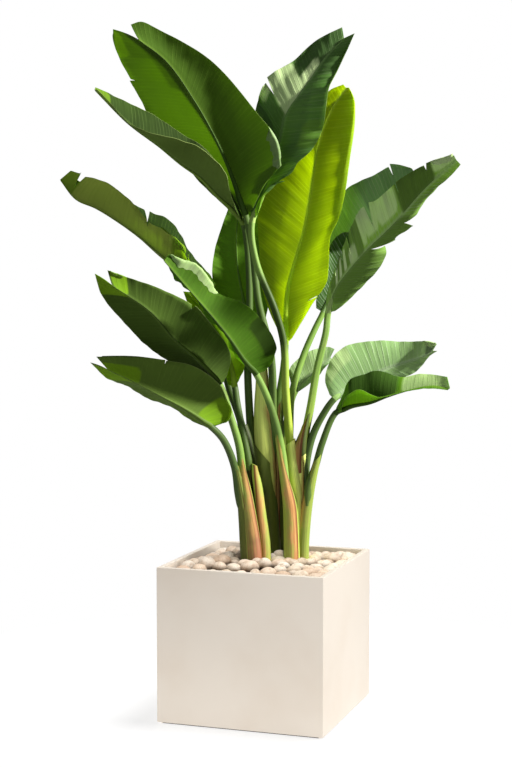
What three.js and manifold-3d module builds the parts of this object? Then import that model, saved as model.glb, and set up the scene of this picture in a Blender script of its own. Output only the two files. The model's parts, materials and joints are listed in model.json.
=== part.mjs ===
// A potted giant white bird of paradise: a cube planter with soil and a bed of round pebbles, three
// shoots of wrapped sheaths that stand in it, and fifteen leaves, each with a stalk and a blade.
// Millimetres, +Z up. The origin is the centre of the planter's underside.
import * as THREE from "three";
import { mergeVertices } from "three/addons/utils/BufferGeometryUtils.js";
import Module from "manifold-3d";

// Planter, soil and pebbles
const POT_WIDTH = 400;
const POT_HEIGHT = 364;
const POT_WALL = 18;
const POT_FLOOR = 20;
const POT_EDGE = 1.5; // chamfer along every outer edge
const SOIL_TOP = 318;
const PEBBLE_PITCH = 42; // between pebbles of a row
const PEBBLE_SIZE = [21, 19, 15]; // half length, half width and half height
const PEBBLE_SPREAD = 0.1; // share by which a pebble may be larger or smaller
const PEBBLE_SINK = 9; // how far a pebble's middle lies under its ring of the bed
const BED_RINGS = [ // the bed under the pebbles: share of its width, height above the ground
  [1, SOIL_TOP],
  [1, 340],
  [0.6, 351],
  [0.3, 356],
];
const FIT_GAP = 0.3; // between pieces that touch

// Plant
const FAN_TURN = 18.9; // degrees from the planter's front to the plane in which the leaves fan out
const STALK_RADIUS = 9.5; // at the foot
const STALK_TOP_RADIUS = 7.5; // where the blade begins
const STALK_SIDES = 8;
const STALK_STEPS = 9;
const BLADE_THICKNESS = 1.2;
const RIDGE_WIDTH = 8; // half the midrib's width at the blade's base
const RIDGE_DEPTH = 8; // how far the midrib stands out under the blade's base
const BLADE_COLUMNS = 12; // steps from base to tip
const BLADE_ROWS = [0.5, 1]; // shares of the half width, outside the midrib
const CAMBER = 0.05; // rise of each half between midrib and margin, over its width
const RUFFLE = 5; // height of the waves along the margin
const RUFFLE_WAVES = 3;
const SHEATH_SIDES = 14;
const SHEATH_LOBES = 3; // wrapped sheaths seen in a section of a shoot
const SHEATH_LOBE_HEIGHT = 0.07;

// A point of the plant is [across, depth, up]: along the fan, away from its front, above the ground.
// A shoot's section is its middle, then half its width across and half its depth.
const SHOOTS = {
  left: [
    [-20, -5, 250, 27, 29],
    [-20, -5, 345, 30, 31],
    [-33, -6, 440, 32, 31],
    [-47, -6, 525, 35, 32],
    [-53, -6, 590, 32, 32],
    [-54, -6, 612, 24, 24],
  ],
  right: [
    [64, 20, 250, 28, 32],
    [64, 20, 345, 31, 34],
    [68, 16, 440, 35, 36],
    [72, 13, 510, 41, 37],
    [74, 12, 575, 44, 37],
    [76, 14, 612, 37, 31],
    [78, 16, 632, 26, 22],
  ],
  centre: [
    [14, 52, 250, 29, 28],
    [12, 54, 345, 33, 30],
    [8, 57, 460, 40, 32],
    [4, 59, 560, 47, 34],
    [3, 60, 625, 47, 34],
    [3, 60, 650, 38, 26],
  ],
};

// A leaf has a stalk from its sheath to the blade, a midrib from there to the tip, and the blade's
// two margins from base to tip, left and right as seen on its upper face with the tip away.
// A tear runs in from a margin: at its share of the margin, deep into the half, wide at the margin.
const LEAVES = {
  top_left: {
    colour: 0x4a7a1c,
    stalk: [[15, 45, 570], [15, 40, 705], [10, 30, 845], [-20, 20, 975], [-35, 15, 1105]],
    rib: [[-50, 0, 1175], [-85, -50, 1275], [-120, -85, 1350], [-160, -110, 1420], [-225, -140, 1510],
      [-285, -160, 1555]],
    left: [[-35, -10, 1185], [-5, -40, 1240], [30, -50, 1285], [25, -60, 1340], [-25, -85, 1405],
      [-125, -115, 1515], [-240, -140, 1580], [-280, -155, 1595]],
    right: [[-60, 15, 1185], [-105, 20, 1215], [-180, 10, 1285], [-250, -10, 1365], [-290, -55, 1435],
      [-320, -85, 1490], [-345, -125, 1555], [-345, -145, 1580]],
    tears: [["right", 0.76, 0.22, 0.015]],
  },
  left_folded: {
    colour: 0x34521c,
    stalk: [[-30, 45, 570], [-40, 50, 700], [-45, 50, 830], [-40, 50, 965], [-45, 40, 1095]],
    rib: [[-55, 20, 1155], [-80, -25, 1190], [-110, -65, 1215], [-150, -100, 1255], [-195, -125, 1285],
      [-240, -150, 1320], [-310, -180, 1370], [-380, -205, 1440]],
    left: [[-60, 5, 1160], [-85, -95, 1225], [-95, -130, 1265], [-145, -170, 1315], [-190, -190, 1330],
      [-250, -200, 1345], [-305, -210, 1370], [-375, -210, 1440]],
    right: [[-55, 15, 1165], [-80, -35, 1220], [-140, -95, 1320], [-195, -105, 1355],
      [-270, -125, 1400], [-335, -160, 1430], [-380, -200, 1445]],
  },
  left_high: {
    colour: 0x48662a,
    stalk: [[-40, 15, 570], [-45, 20, 625], [-65, 25, 700], [-90, 40, 770], [-115, 50, 890]],
    rib: [[-130, 60, 1000], [-180, 50, 1040], [-240, 40, 1075], [-300, 25, 1125], [-350, 10, 1160],
      [-400, -5, 1190], [-445, -15, 1210], [-480, -25, 1255]],
    left: [[-135, 55, 1010], [-180, 40, 1065], [-200, 30, 1105], [-250, 10, 1145], [-280, 5, 1160],
      [-315, -10, 1200], [-365, -20, 1245], [-405, -30, 1260], [-455, -30, 1275]],
    right: [[-125, 75, 1010], [-150, 105, 1055], [-185, 120, 1095], [-210, 120, 1130],
      [-235, 110, 1165], [-295, 100, 1195], [-360, 80, 1215], [-420, 45, 1240], [-475, -15, 1260]],
    tears: [["left", 0.22, 0.6, 0.05], ["left", 0.5, 0.25, 0.03], ["right", 0.52, 0.45, 0.05]],
  },
  front: {
    colour: 0x4c8a12,
    stalk: [[50, -5, 490], [45, -10, 540], [35, -15, 625], [10, -35, 725]],
    rib: [[-25, -60, 805], [-55, -85, 845], [-85, -110, 890], [-120, -135, 935], [-175, -160, 1000],
      [-230, -180, 1065]],
    left: [[-5, -55, 810], [10, -50, 830], [20, -55, 870], [5, -65, 910], [-25, -80, 945],
      [-65, -95, 975], [-115, -110, 1000], [-135, -125, 1025], [-170, -145, 1060], [-220, -170, 1080]],
    right: [[-35, -50, 805], [-60, -50, 835], [-95, -70, 885], [-130, -100, 935], [-180, -135, 1000],
      [-235, -170, 1065]],
  },
  left_middle: {
    colour: 0x35501f,
    stalk: [[-40, -10, 490], [-55, -20, 555], [-65, -30, 635], [-85, -35, 705]],
    rib: [[-110, -45, 780], [-155, -70, 835], [-215, -95, 890], [-265, -115, 950], [-350, -140, 1010]],
    left: [[-100, -35, 785], [-90, -30, 810], [-85, -30, 845], [-95, -40, 875], [-130, -60, 920],
      [-170, -75, 965], [-235, -95, 1000], [-305, -120, 1025], [-360, -140, 1045]],
    right: [[-125, -45, 780], [-155, -35, 785], [-190, -35, 810], [-240, -55, 840], [-290, -80, 885],
      [-340, -110, 940], [-375, -130, 990], [-390, -145, 1035]],
    tears: [["left", 0.5, 0.1, 0.02]],
  },
  left_inner: {
    colour: 0x568a18,
    stalk: [[-40, -10, 575], [-50, -10, 630], [-60, -5, 680], [-70, 0, 735]],
    rib: [[-75, 10, 770], [-95, -5, 860], [-135, -15, 930], [-185, -25, 995]],
    left: [[-65, 15, 785], [-55, 20, 820], [-65, 20, 870], [-100, 10, 930], [-140, -5, 970],
      [-175, -20, 995]],
    right: [[-90, 10, 775], [-105, 5, 825], [-125, 0, 875], [-155, -10, 930], [-185, -20, 970],
      [-195, -25, 995]],
  },
  left_low: {
    colour: 0x3c5c20,
    stalk: [[-60, -20, 470], [-70, -30, 515], [-75, -40, 585], [-100, -60, 650]],
    rib: [[-130, -80, 685], [-175, -95, 720], [-245, -115, 760], [-310, -135, 795], [-360, -150, 820]],
    left: [[-120, -70, 685], [-95, -60, 695], [-85, -55, 720], [-95, -60, 745], [-110, -65, 780],
      [-170, -85, 825], [-235, -110, 840], [-300, -135, 850], [-385, -160, 850]],
    right: [[-140, -70, 680], [-175, -35, 695], [-215, -30, 720], [-270, -45, 745], [-320, -75, 775],
      [-365, -115, 800], [-400, -150, 835]],
    tears: [["left", 0.62, 0.12, 0.02]],
  },
  top_right: {
    colour: 0x3f6e2c,
    stalk: [[60, 20, 545], [55, 15, 640], [45, 10, 760], [40, 0, 875], [20, -10, 950], [-25, -20, 1065]],
    rib: [[-35, -10, 1155], [0, 5, 1250], [30, 5, 1345], [45, 5, 1410], [75, 5, 1455],
      [100, 10, 1490], [135, 10, 1540], [180, 15, 1585]],
    left: [[-35, 0, 1170], [-40, 15, 1255], [-35, 15, 1350], [-25, 10, 1425], [-5, 10, 1480],
      [15, 10, 1500], [60, 10, 1530], [110, 10, 1575], [175, 15, 1610]],
    right: [[-20, -10, 1175], [5, -10, 1245], [50, -10, 1265], [75, -10, 1295], [105, -10, 1325],
      [130, -5, 1375], [145, 0, 1465], [165, 10, 1510], [205, 15, 1595]],
    tears: [["left", 0.6, 0.4, 0.04], ["right", 0.22, 0.2, 0.03]],
  },
  centre: {
    colour: 0x9fbe1c,
    stalk: [[30, 55, 565], [30, 55, 625], [30, 50, 735], [40, 40, 810]],
    rib: [[45, 30, 870], [50, 40, 995], [70, 40, 1075], [85, 45, 1125], [100, 50, 1205],
      [110, 50, 1275], [120, 45, 1340], [150, 45, 1420], [180, 40, 1460]],
    left: [[60, 25, 885], [110, 25, 965], [140, 20, 1015], [145, 20, 1060], [150, 25, 1125],
      [170, 30, 1170], [185, 35, 1235], [195, 40, 1300], [205, 40, 1375], [205, 40, 1415],
      [205, 40, 1450]],
    right: [[35, 35, 885], [10, 45, 940], [-10, 55, 1010], [-10, 60, 1095], [-5, 65, 1175],
      [15, 65, 1235], [50, 60, 1305], [85, 55, 1375], [125, 50, 1445], [165, 45, 1475]],
    tears: [["left", 0.19, 0.35, 0.03]],
  },
  back_left: {
    colour: 0x3f7012,
    stalk: [[-5, 70, 565], [-5, 70, 640], [-10, 75, 770]],
    rib: [[-30, 85, 855], [-50, 100, 950], [-70, 115, 1060], [-70, 125, 1165], [-55, 130, 1265]],
    left: [[-15, 85, 865], [5, 95, 975], [0, 110, 1080], [-10, 120, 1180], [-45, 130, 1260]],
    right: [[-45, 90, 860], [-105, 100, 940], [-130, 110, 1020], [-125, 120, 1095],
      [-105, 125, 1160], [-65, 130, 1260]],
  },
  right_torn: {
    colour: 0x7c9a5c,
    stalk: [[85, 35, 560], [90, 30, 640], [105, 25, 725], [120, 20, 815], [140, 15, 900]],
    rib: [[145, 15, 945], [160, -5, 1000], [195, -20, 1050], [230, -35, 1090], [295, -60, 1155],
      [360, -80, 1230], [430, -100, 1295]],
    left: [[140, 10, 960], [145, -5, 1000], [160, -20, 1050], [195, -40, 1145], [220, -50, 1190],
      [250, -55, 1205], [285, -60, 1235], [315, -70, 1260], [380, -90, 1295], [425, -100, 1305]],
    right: [[160, 15, 950], [200, 10, 980], [250, 0, 1030], [285, -15, 1080], [295, -30, 1115],
      [335, -45, 1155], [365, -60, 1200], [415, -85, 1255], [440, -100, 1285]],
    tears: [["left", 0.2, 0.6, 0.03], ["left", 0.28, 0.6, 0.03], ["left", 0.36, 0.7, 0.03],
      ["left", 0.53, 0.6, 0.04], ["left", 0.86, 0.3, 0.04], ["right", 0.46, 0.85, 0.08],
      ["right", 0.63, 0.5, 0.05]],
  },
  right_back: {
    colour: 0x557d5c,
    stalk: [[55, 45, 555], [55, 45, 665], [60, 50, 750], [85, 60, 835], [115, 65, 905]],
    rib: [[135, 70, 945], [160, 80, 1010], [205, 80, 1080], [270, 70, 1175], [330, 50, 1260],
      [350, 40, 1275]],
    left: [[125, 80, 960], [130, 115, 1010], [150, 135, 1120], [170, 135, 1195], [195, 125, 1240],
      [260, 100, 1275], [305, 75, 1295], [345, 50, 1285]],
    right: [[120, 60, 955], [120, 50, 985], [140, 45, 1050], [155, 50, 1110], [180, 50, 1135],
      [215, 50, 1135], [255, 45, 1160], [305, 40, 1220], [340, 40, 1270]],
    tears: [["left", 0.88, 0.4, 0.03]],
  },
  right_low: {
    colour: 0x8aae72,
    stalk: [[90, 10, 525], [95, 15, 595], [110, 20, 655], [135, 20, 705]],
    rib: [[160, 20, 740], [205, 35, 770], [285, 45, 810], [360, 40, 835], [395, 30, 855]],
    left: [[150, 30, 750], [140, 50, 785], [155, 75, 830], [195, 90, 865], [260, 90, 875],
      [320, 80, 875], [390, 45, 875], [405, 35, 870]],
    right: [[170, 20, 740], [235, 20, 760], [325, 30, 790], [355, 30, 805], [385, 30, 840],
      [405, 30, 855]],
  },
  right_lowest: {
    colour: 0x6c9a3c,
    stalk: [[95, -10, 490], [100, -10, 540], [115, -10, 585], [130, -20, 640]],
    rib: [[160, -25, 710], [190, -40, 730], [240, -55, 740], [280, -70, 755], [330, -80, 770],
      [380, -90, 780], [420, -100, 775]],
    left: [[165, -20, 725], [180, 0, 755], [195, 10, 785], [230, 5, 800], [260, -5, 810],
      [315, -30, 795], [355, -50, 805], [415, -90, 800]],
    right: [[175, -40, 715], [180, -70, 750], [210, -90, 770], [255, -95, 755], [315, -95, 765],
      [365, -100, 775], [415, -100, 770]],
  },
  inner_right: {
    colour: 0x5f8a48,
    stalk: [[45, 80, 565], [45, 82, 635], [55, 85, 710]],
    rib: [[70, 85, 755], [110, 95, 795], [155, 105, 835]],
    left: [[60, 90, 770], [55, 95, 805], [75, 105, 830], [105, 110, 850], [150, 115, 860],
      [165, 110, 855]],
    right: [[80, 85, 755], [100, 80, 770], [125, 85, 790], [140, 90, 810], [160, 105, 830]],
  },
};

const { clamp, degToRad, lerp } = THREE.MathUtils;
const wasm = await Module();
wasm.setup();

// --- Solids -------------------------------------------------------------------------------------

// A closed geometry as a solid whose faces point out.
function solid(geometry) {
  const bare = geometry.clone();
  bare.deleteAttribute("normal");
  bare.deleteAttribute("uv");
  const merged = mergeVertices(bare, 1e-4);
  const vertProperties = new Float32Array(merged.attributes.position.array);
  const triVerts = new Uint32Array(merged.index.array);
  const made = new wasm.Manifold(new wasm.Mesh({ numProp: 3, vertProperties, triVerts }));
  if (made.volume() > 0) return made;
  return new wasm.Manifold(
    new wasm.Mesh({ numProp: 3, vertProperties, triVerts: triVerts.reverse() }),
  );
}

// The largest body of a solid, without the scraps that a cut leaves.
function largest(cut) {
  return cut.decompose().reduce((best, body) => (body.volume() > best.volume() ? body : best));
}

function named(name, body, colour, roughness) {
  const { vertProperties, triVerts } = body.getMesh();
  const geometry = new THREE.BufferGeometry();
  geometry.setAttribute("position", new THREE.BufferAttribute(vertProperties, 3));
  geometry.setIndex(new THREE.BufferAttribute(triVerts, 1));
  geometry.computeVertexNormals();
  const material = new THREE.MeshStandardMaterial({ color: colour, roughness, metalness: 0 });
  const mesh = new THREE.Mesh(geometry, material);
  mesh.name = name;
  return mesh;
}

function box(width, bottom, top) {
  return new THREE.BoxGeometry(width, width, top - bottom).translate(0, 0, (top + bottom) / 2);
}

// Rings of as many points each, joined one to the next and closed at both ends.
function lofted(rings) {
  const sides = rings[0].length;
  const index = [];
  for (let ring = 0; ring + 1 < rings.length; ring++) {
    for (let side = 0; side < sides; side++) {
      const next = (side + 1) % sides;
      const low = ring * sides;
      const high = low + sides;
      index.push(low + side, low + next, high + next);
      index.push(low + side, high + next, high + side);
    }
  }
  const top = (rings.length - 1) * sides;
  for (let side = 1; side + 1 < sides; side++) {
    index.push(0, side + 1, side);
    index.push(top, top + side, top + side + 1);
  }
  const geometry = new THREE.BufferGeometry().setFromPoints(rings.flat());
  geometry.setIndex(index);
  return geometry;
}

// --- Curves -------------------------------------------------------------------------------------

function through(points) {
  const vectors = points.map((point) => new THREE.Vector3(...point));
  return new THREE.CatmullRomCurve3(vectors, false, "centripetal");
}

// The stretch of a longer curve between two of its parameters.
class Stretch extends THREE.Curve {
  constructor(whole, from, to) {
    super();
    this.whole = whole;
    this.from = from;
    this.to = to;
  }

  getPoint(t, target = new THREE.Vector3()) {
    return this.whole.getPoint(lerp(this.from, this.to, t), target);
  }
}

// A leaf's stalk and midrib are one smooth line, parted where the blade begins.
function leafLines({ stalk, rib, left, right }) {
  const whole = through([...stalk, ...rib]);
  const join = stalk.length / (stalk.length + rib.length - 1);
  return {
    stalk: new Stretch(whole, 0, join),
    rib: new Stretch(whole, join, 1),
    left: through(left),
    right: through(right),
  };
}

// --- Planter ------------------------------------------------------------------------------------

const CAVITY = POT_WIDTH - 2 * POT_WALL;
const FILL_WIDTH = CAVITY - 2 * FIT_GAP;

function pot() {
  const half = POT_WIDTH / 2 - POT_EDGE;
  const outline = new THREE.Shape([
    new THREE.Vector2(-half, -half),
    new THREE.Vector2(half, -half),
    new THREE.Vector2(half, half),
    new THREE.Vector2(-half, half),
  ]);
  const outside = new THREE.ExtrudeGeometry(outline, {
    depth: POT_HEIGHT - 2 * POT_EDGE,
    bevelSize: POT_EDGE,
    bevelThickness: POT_EDGE,
    bevelSegments: 1,
  }).translate(0, 0, POT_EDGE);
  const inside = box(CAVITY, POT_FLOOR, POT_HEIGHT + POT_FLOOR);
  return solid(outside).subtract(solid(inside));
}

// A generator of the same numbers from 0 to 1 on every run.
function seeded(seed) {
  let state = seed;
  return () => {
    state = (state * 1664525 + 1013904223) % 4294967296;
    return state / 4294967296;
  };
}

// The bed's height at a place, between its rings.
function bedHeight(x, y) {
  const share = clamp(Math.max(Math.abs(x), Math.abs(y)) / (FILL_WIDTH / 2), 0, 1);
  const rings = BED_RINGS.slice(1);
  for (let i = 0; i + 1 < rings.length; i++) {
    const [outer, low] = rings[i];
    const [inner, high] = rings[i + 1];
    if (share >= inner) return lerp(high, low, (share - inner) / (outer - inner));
  }
  return rings.at(-1)[1];
}

// Rounded stones pressed side by side into a low mound.
function pebbleBed() {
  const rings = BED_RINGS.map(([share, height], ring) => {
    const half = (share * FILL_WIDTH) / 2;
    const sunk = ring ? height - PEBBLE_SINK : height + FIT_GAP;
    return [[-1, -1], [1, -1], [1, 1], [-1, 1]].map(
      ([x, y]) => new THREE.Vector3(x * half, y * half, sunk),
    );
  });
  let bed = solid(lofted(rings));
  const random = seeded(11);
  const spread = () => 1 + PEBBLE_SPREAD * (2 * random() - 1);
  const rowPitch = PEBBLE_PITCH * 0.87;
  const rows = Math.round(FILL_WIDTH / rowPitch);
  const columns = Math.ceil(FILL_WIDTH / PEBBLE_PITCH);
  for (let row = 0; row < rows; row++) {
    for (let column = 0; column <= columns; column++) {
      const x = (column - columns / 2 + (row % 2) / 2) * PEBBLE_PITCH + 6 * (random() - 0.5);
      const y = (row - (rows - 1) / 2) * rowPitch + 6 * (random() - 0.5);
      const turn = Math.PI * random();
      const size = PEBBLE_SIZE.map((half) => half * spread());
      if (Math.abs(x) > FILL_WIDTH / 2) continue;
      const stone = new THREE.SphereGeometry(1, 6, 4)
        .rotateX(Math.PI / 2)
        .scale(...size)
        .rotateZ(turn)
        .translate(x, y, bedHeight(x, y) - PEBBLE_SINK / 2);
      bed = bed.add(solid(stone));
    }
  }
  return bed.intersect(solid(box(FILL_WIDTH, SOIL_TOP, POT_HEIGHT + POT_FLOOR)));
}

// --- Plant --------------------------------------------------------------------------------------

// A shoot's sections, lobed like sheaths wrapped round each other. grow widens it all round.
function shoot(sections, grow = 0) {
  const rings = sections.map(([across, depth, up, halfAcross, halfDepth], ring) => {
    const end = ring === 0 ? -grow : ring === sections.length - 1 ? grow : 0;
    return Array.from({ length: SHEATH_SIDES }, (_, side) => {
      const angle = (2 * Math.PI * side) / SHEATH_SIDES;
      const lobe = 1 + SHEATH_LOBE_HEIGHT * Math.cos(SHEATH_LOBES * angle + ring / 3);
      return new THREE.Vector3(
        across + Math.cos(angle) * (halfAcross * lobe + grow),
        depth + Math.sin(angle) * (halfDepth * lobe + grow),
        up + end,
      );
    });
  });
  return lofted(rings);
}

// A stalk, slimmer towards the blade. grow widens and lengthens it.
function stalk(curve, grow = 0) {
  const { tangents, normals, binormals } = curve.computeFrenetFrames(STALK_STEPS, false);
  const rings = Array.from({ length: STALK_STEPS + 1 }, (_, step) => {
    const share = step / STALK_STEPS;
    const end = step === 0 ? -grow : step === STALK_STEPS ? grow : 0;
    const middle = curve.getPointAt(share).addScaledVector(tangents[step], end);
    const radius = lerp(STALK_RADIUS, STALK_TOP_RADIUS, share) + grow;
    return Array.from({ length: STALK_SIDES }, (_, side) => {
      const angle = (2 * Math.PI * side) / STALK_SIDES;
      return middle
        .clone()
        .addScaledVector(normals[step], radius * Math.cos(angle))
        .addScaledVector(binormals[step], radius * Math.sin(angle));
    });
  });
  return lofted(rings);
}

// The shares of a blade's length at which it has a column: even steps, and each tear's two sides.
function columnShares(tears) {
  const shares = Array.from({ length: BLADE_COLUMNS + 1 }, (_, i) => i / BLADE_COLUMNS);
  const clear = shares.filter((share) => tears.every(([, at, , wide]) => Math.abs(share - at) > wide));
  for (const [, at, , wide] of tears) clear.push(at - wide, at, at + wide);
  return clear.sort((a, b) => a - b);
}

// How much of a half's width is left at a share of its length.
function edgeShare(tears, side, share) {
  const cuts = tears
    .filter(([torn]) => torn === side)
    .map(([, at, deep, wide]) => deep * Math.max(0, 1 - Math.abs(share - at) / wide));
  return 1 - Math.max(0, ...cuts);
}

// A blade: two thin halves that rise from a thick midrib, arched and waved towards their margins.
function blade(leaf, lines, seed) {
  const tears = leaf.tears ?? [];
  const shares = columnShares(tears);
  const phase = 2 * Math.PI * seeded(seed)();
  const upper = [];
  const lower = [];
  for (const share of shares) {
    const middle = lines.rib.getPointAt(share);
    const along = lines.rib.getTangentAt(share);
    const halves = ["left", "right"].map((side) => {
      const out = lines[side].getPointAt(share).sub(middle);
      const face = new THREE.Vector3().crossVectors(out, along).normalize();
      if (side === "left") face.negate();
      return { side, out, face, edge: edgeShare(tears, side, share) };
    });
    const top = [];
    const bottom = [];
    const point = ({ out, face, side }, part) => {
      const wave = Math.sin(2 * Math.PI * RUFFLE_WAVES * share + phase + (side === "left" ? 1 : 0));
      const rise = CAMBER * out.length() * 4 * part * (1 - part) + RUFFLE * wave * part * part;
      const place = middle.clone().addScaledVector(out, part).addScaledVector(face, rise);
      top.push(place.clone().addScaledVector(face, BLADE_THICKNESS / 2));
      bottom.push(place.addScaledVector(face, -BLADE_THICKNESS / 2));
    };
    const [left, right] = halves;
    const ridge = (half) => Math.min(0.3, (RIDGE_WIDTH * (1 - 0.75 * share)) / half.out.length());
    for (const part of BLADE_ROWS.toReversed()) point(left, part * left.edge);
    point(left, ridge(left) * left.edge);
    const up = left.face.clone().add(right.face).normalize();
    top.push(middle.clone().addScaledVector(up, BLADE_THICKNESS / 2));
    bottom.push(middle.clone().addScaledVector(up, -lerp(RIDGE_DEPTH, BLADE_THICKNESS, share)));
    point(right, ridge(right) * right.edge);
    for (const part of BLADE_ROWS) point(right, part * right.edge);
    upper.push(top);
    lower.push(bottom);
  }
  return shell(upper, lower);
}

// Two faces of as many columns and rows each, closed round the edge.
function shell(upper, lower) {
  const columns = upper.length;
  const rows = upper[0].length;
  const at = (layer, column, row) => layer * columns * rows + column * rows + row;
  const index = [];
  const quad = (a, b, c, d) => index.push(a, b, c, a, c, d);
  for (let column = 0; column + 1 < columns; column++) {
    for (let row = 0; row + 1 < rows; row++) {
      const corners = [[column, row], [column + 1, row], [column + 1, row + 1], [column, row + 1]];
      const [a, b, c, d] = corners.map(([i, j]) => at(0, i, j));
      const [e, f, g, h] = corners.map(([i, j]) => at(1, i, j));
      index.push(a, c, b, a, d, c);
      index.push(e, f, g, e, g, h);
    }
    const last = rows - 1;
    quad(at(0, column, 0), at(0, column + 1, 0), at(1, column + 1, 0), at(1, column, 0));
    quad(at(0, column, last), at(1, column, last), at(1, column + 1, last), at(0, column + 1, last));
  }
  for (let row = 0; row + 1 < rows; row++) {
    const last = columns - 1;
    quad(at(0, 0, row), at(1, 0, row), at(1, 0, row + 1), at(0, 0, row + 1));
    quad(at(0, last, row), at(0, last, row + 1), at(1, last, row + 1), at(1, last, row));
  }
  const geometry = new THREE.BufferGeometry().setFromPoints([...upper.flat(), ...lower.flat()]);
  geometry.setIndex(index);
  return geometry;
}

// --- Assembly -----------------------------------------------------------------------------------

const plant = new THREE.Group();
plant.rotation.z = degToRad(FAN_TURN);
const turned = (geometry) => geometry.rotateZ(degToRad(FAN_TURN));

const stalkHoles = [];
Object.entries(LEAVES).forEach(([name, leaf], number) => {
  const lines = leafLines(leaf);
  const hole = solid(stalk(lines.stalk, FIT_GAP));
  const flat = solid(blade(leaf, lines, number + 1));
  stalkHoles.push(hole);
  plant.add(named(`stalk_${name}`, solid(stalk(lines.stalk)), 0x86a548, 0.5));
  plant.add(named(`blade_${name}`, largest(flat.subtract(hole)), leaf.colour, 0.4));
});

const placed = [];
for (const [name, sections] of Object.entries(SHOOTS)) {
  let body = solid(shoot(sections));
  for (const hole of [...stalkHoles, ...placed]) body = body.subtract(hole);
  placed.push(solid(shoot(sections, FIT_GAP)));
  plant.add(named(`shoot_${name}`, largest(body), 0xa39a58, 0.55));
}

let soil = solid(box(FILL_WIDTH, POT_FLOOR + FIT_GAP, SOIL_TOP));
let pebbles = pebbleBed();
for (const sections of Object.values(SHOOTS)) {
  const hole = solid(turned(shoot(sections, FIT_GAP)));
  soil = soil.subtract(hole);
  pebbles = pebbles.subtract(hole);
}

const root = new THREE.Group();
root.name = "potted_bird_of_paradise";
root.add(named("pot", pot(), 0xe4dacb, 0.6));
root.add(named("soil", largest(soil), 0x3b2b20, 0.95));
root.add(named("pebbles", largest(pebbles), 0xdccab5, 0.6));
root.add(plant);

export default root;
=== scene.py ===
"""The looks of a potted giant white bird of paradise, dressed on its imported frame.

Each piece here stands in the place of one node of the frame: a cream cube planter, its soil, a bed of
round pebbles, three shoots of wrapped sheaths, and fifteen leaves, each a stalk and a blade. The plant's
lines are the frame's own, in millimetres along its fan, away from its front, and up.
"""

from __future__ import annotations

import json
import logging
import math
from collections.abc import Sequence
from dataclasses import dataclass
from enum import Enum
from typing import Union

import bmesh
import bpy
import numpy as np
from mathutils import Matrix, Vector

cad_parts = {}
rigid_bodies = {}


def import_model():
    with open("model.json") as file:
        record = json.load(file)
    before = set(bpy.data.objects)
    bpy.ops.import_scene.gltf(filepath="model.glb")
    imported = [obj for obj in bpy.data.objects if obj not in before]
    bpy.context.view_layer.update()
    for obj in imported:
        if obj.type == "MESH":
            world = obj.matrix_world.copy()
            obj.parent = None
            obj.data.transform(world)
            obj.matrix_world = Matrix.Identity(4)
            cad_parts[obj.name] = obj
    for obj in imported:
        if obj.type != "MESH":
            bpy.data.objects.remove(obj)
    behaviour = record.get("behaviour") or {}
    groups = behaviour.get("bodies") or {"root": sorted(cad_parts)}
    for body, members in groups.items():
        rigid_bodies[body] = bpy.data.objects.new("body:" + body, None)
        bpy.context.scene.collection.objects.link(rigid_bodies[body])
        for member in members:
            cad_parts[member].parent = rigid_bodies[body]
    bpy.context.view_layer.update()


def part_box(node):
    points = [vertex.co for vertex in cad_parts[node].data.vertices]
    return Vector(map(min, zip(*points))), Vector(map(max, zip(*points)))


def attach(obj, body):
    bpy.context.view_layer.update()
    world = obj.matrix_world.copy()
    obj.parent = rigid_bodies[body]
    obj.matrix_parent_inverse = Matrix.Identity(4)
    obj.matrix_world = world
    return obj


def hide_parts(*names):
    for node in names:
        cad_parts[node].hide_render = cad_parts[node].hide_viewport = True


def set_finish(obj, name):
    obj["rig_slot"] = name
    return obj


log = logging.getLogger("bird_of_paradise")

Array = np.ndarray
Point = tuple[float, float, float]
Points = tuple[Point, ...]
Colour = tuple[float, float, float, float]

MM = 0.001
BODY = "root"
WHITE: Colour = (1.0, 1.0, 1.0, 1.0)
STEMS = ("sheath", "stalk")  # slots of the plant below its blades
PLANT = STEMS + ("blade",)
BASE = ("pot", "soil", "pebble")  # slots of what it stands in
FAN_TURN = math.radians(18.9)  # from the planter's front to the plane in which the leaves fan out


def colour(code: int) -> Colour:
    """Turns a display colour into the shader's linear one.

    Args:
        code: The colour as 0xRRGGBB.

    Returns:
        Red, green, blue and a full alpha.
    """
    shares = [((code >> shift) & 255) / 255 for shift in (16, 8, 0)]
    red, green, blue = (c / 12.92 if c <= 0.04045 else ((c + 0.055) / 1.055) ** 2.4 for c in shares)
    return red, green, blue, 1.0


def dimmed(code: int, share: float) -> Colour:
    """A display colour as a linear one, at this share of its brightness."""
    return tuple(share * c for c in colour(code)[:3]) + (1.0,)


def turned(axis: int, angle: float) -> Array:
    """The matrix of a turn by an angle in radians round the x, y or z axis, which are 0, 1 and 2."""
    cos, sin = math.cos(angle), math.sin(angle)
    matrix = np.eye(3)
    first, second = (k for k in range(3) if k != axis)
    matrix[first, first] = matrix[second, second] = cos
    matrix[first, second], matrix[second, first] = (sin, -sin) if axis == 1 else (-sin, sin)
    return matrix


# --- Lines ------------------------------------------------------------------------------------------


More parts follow.
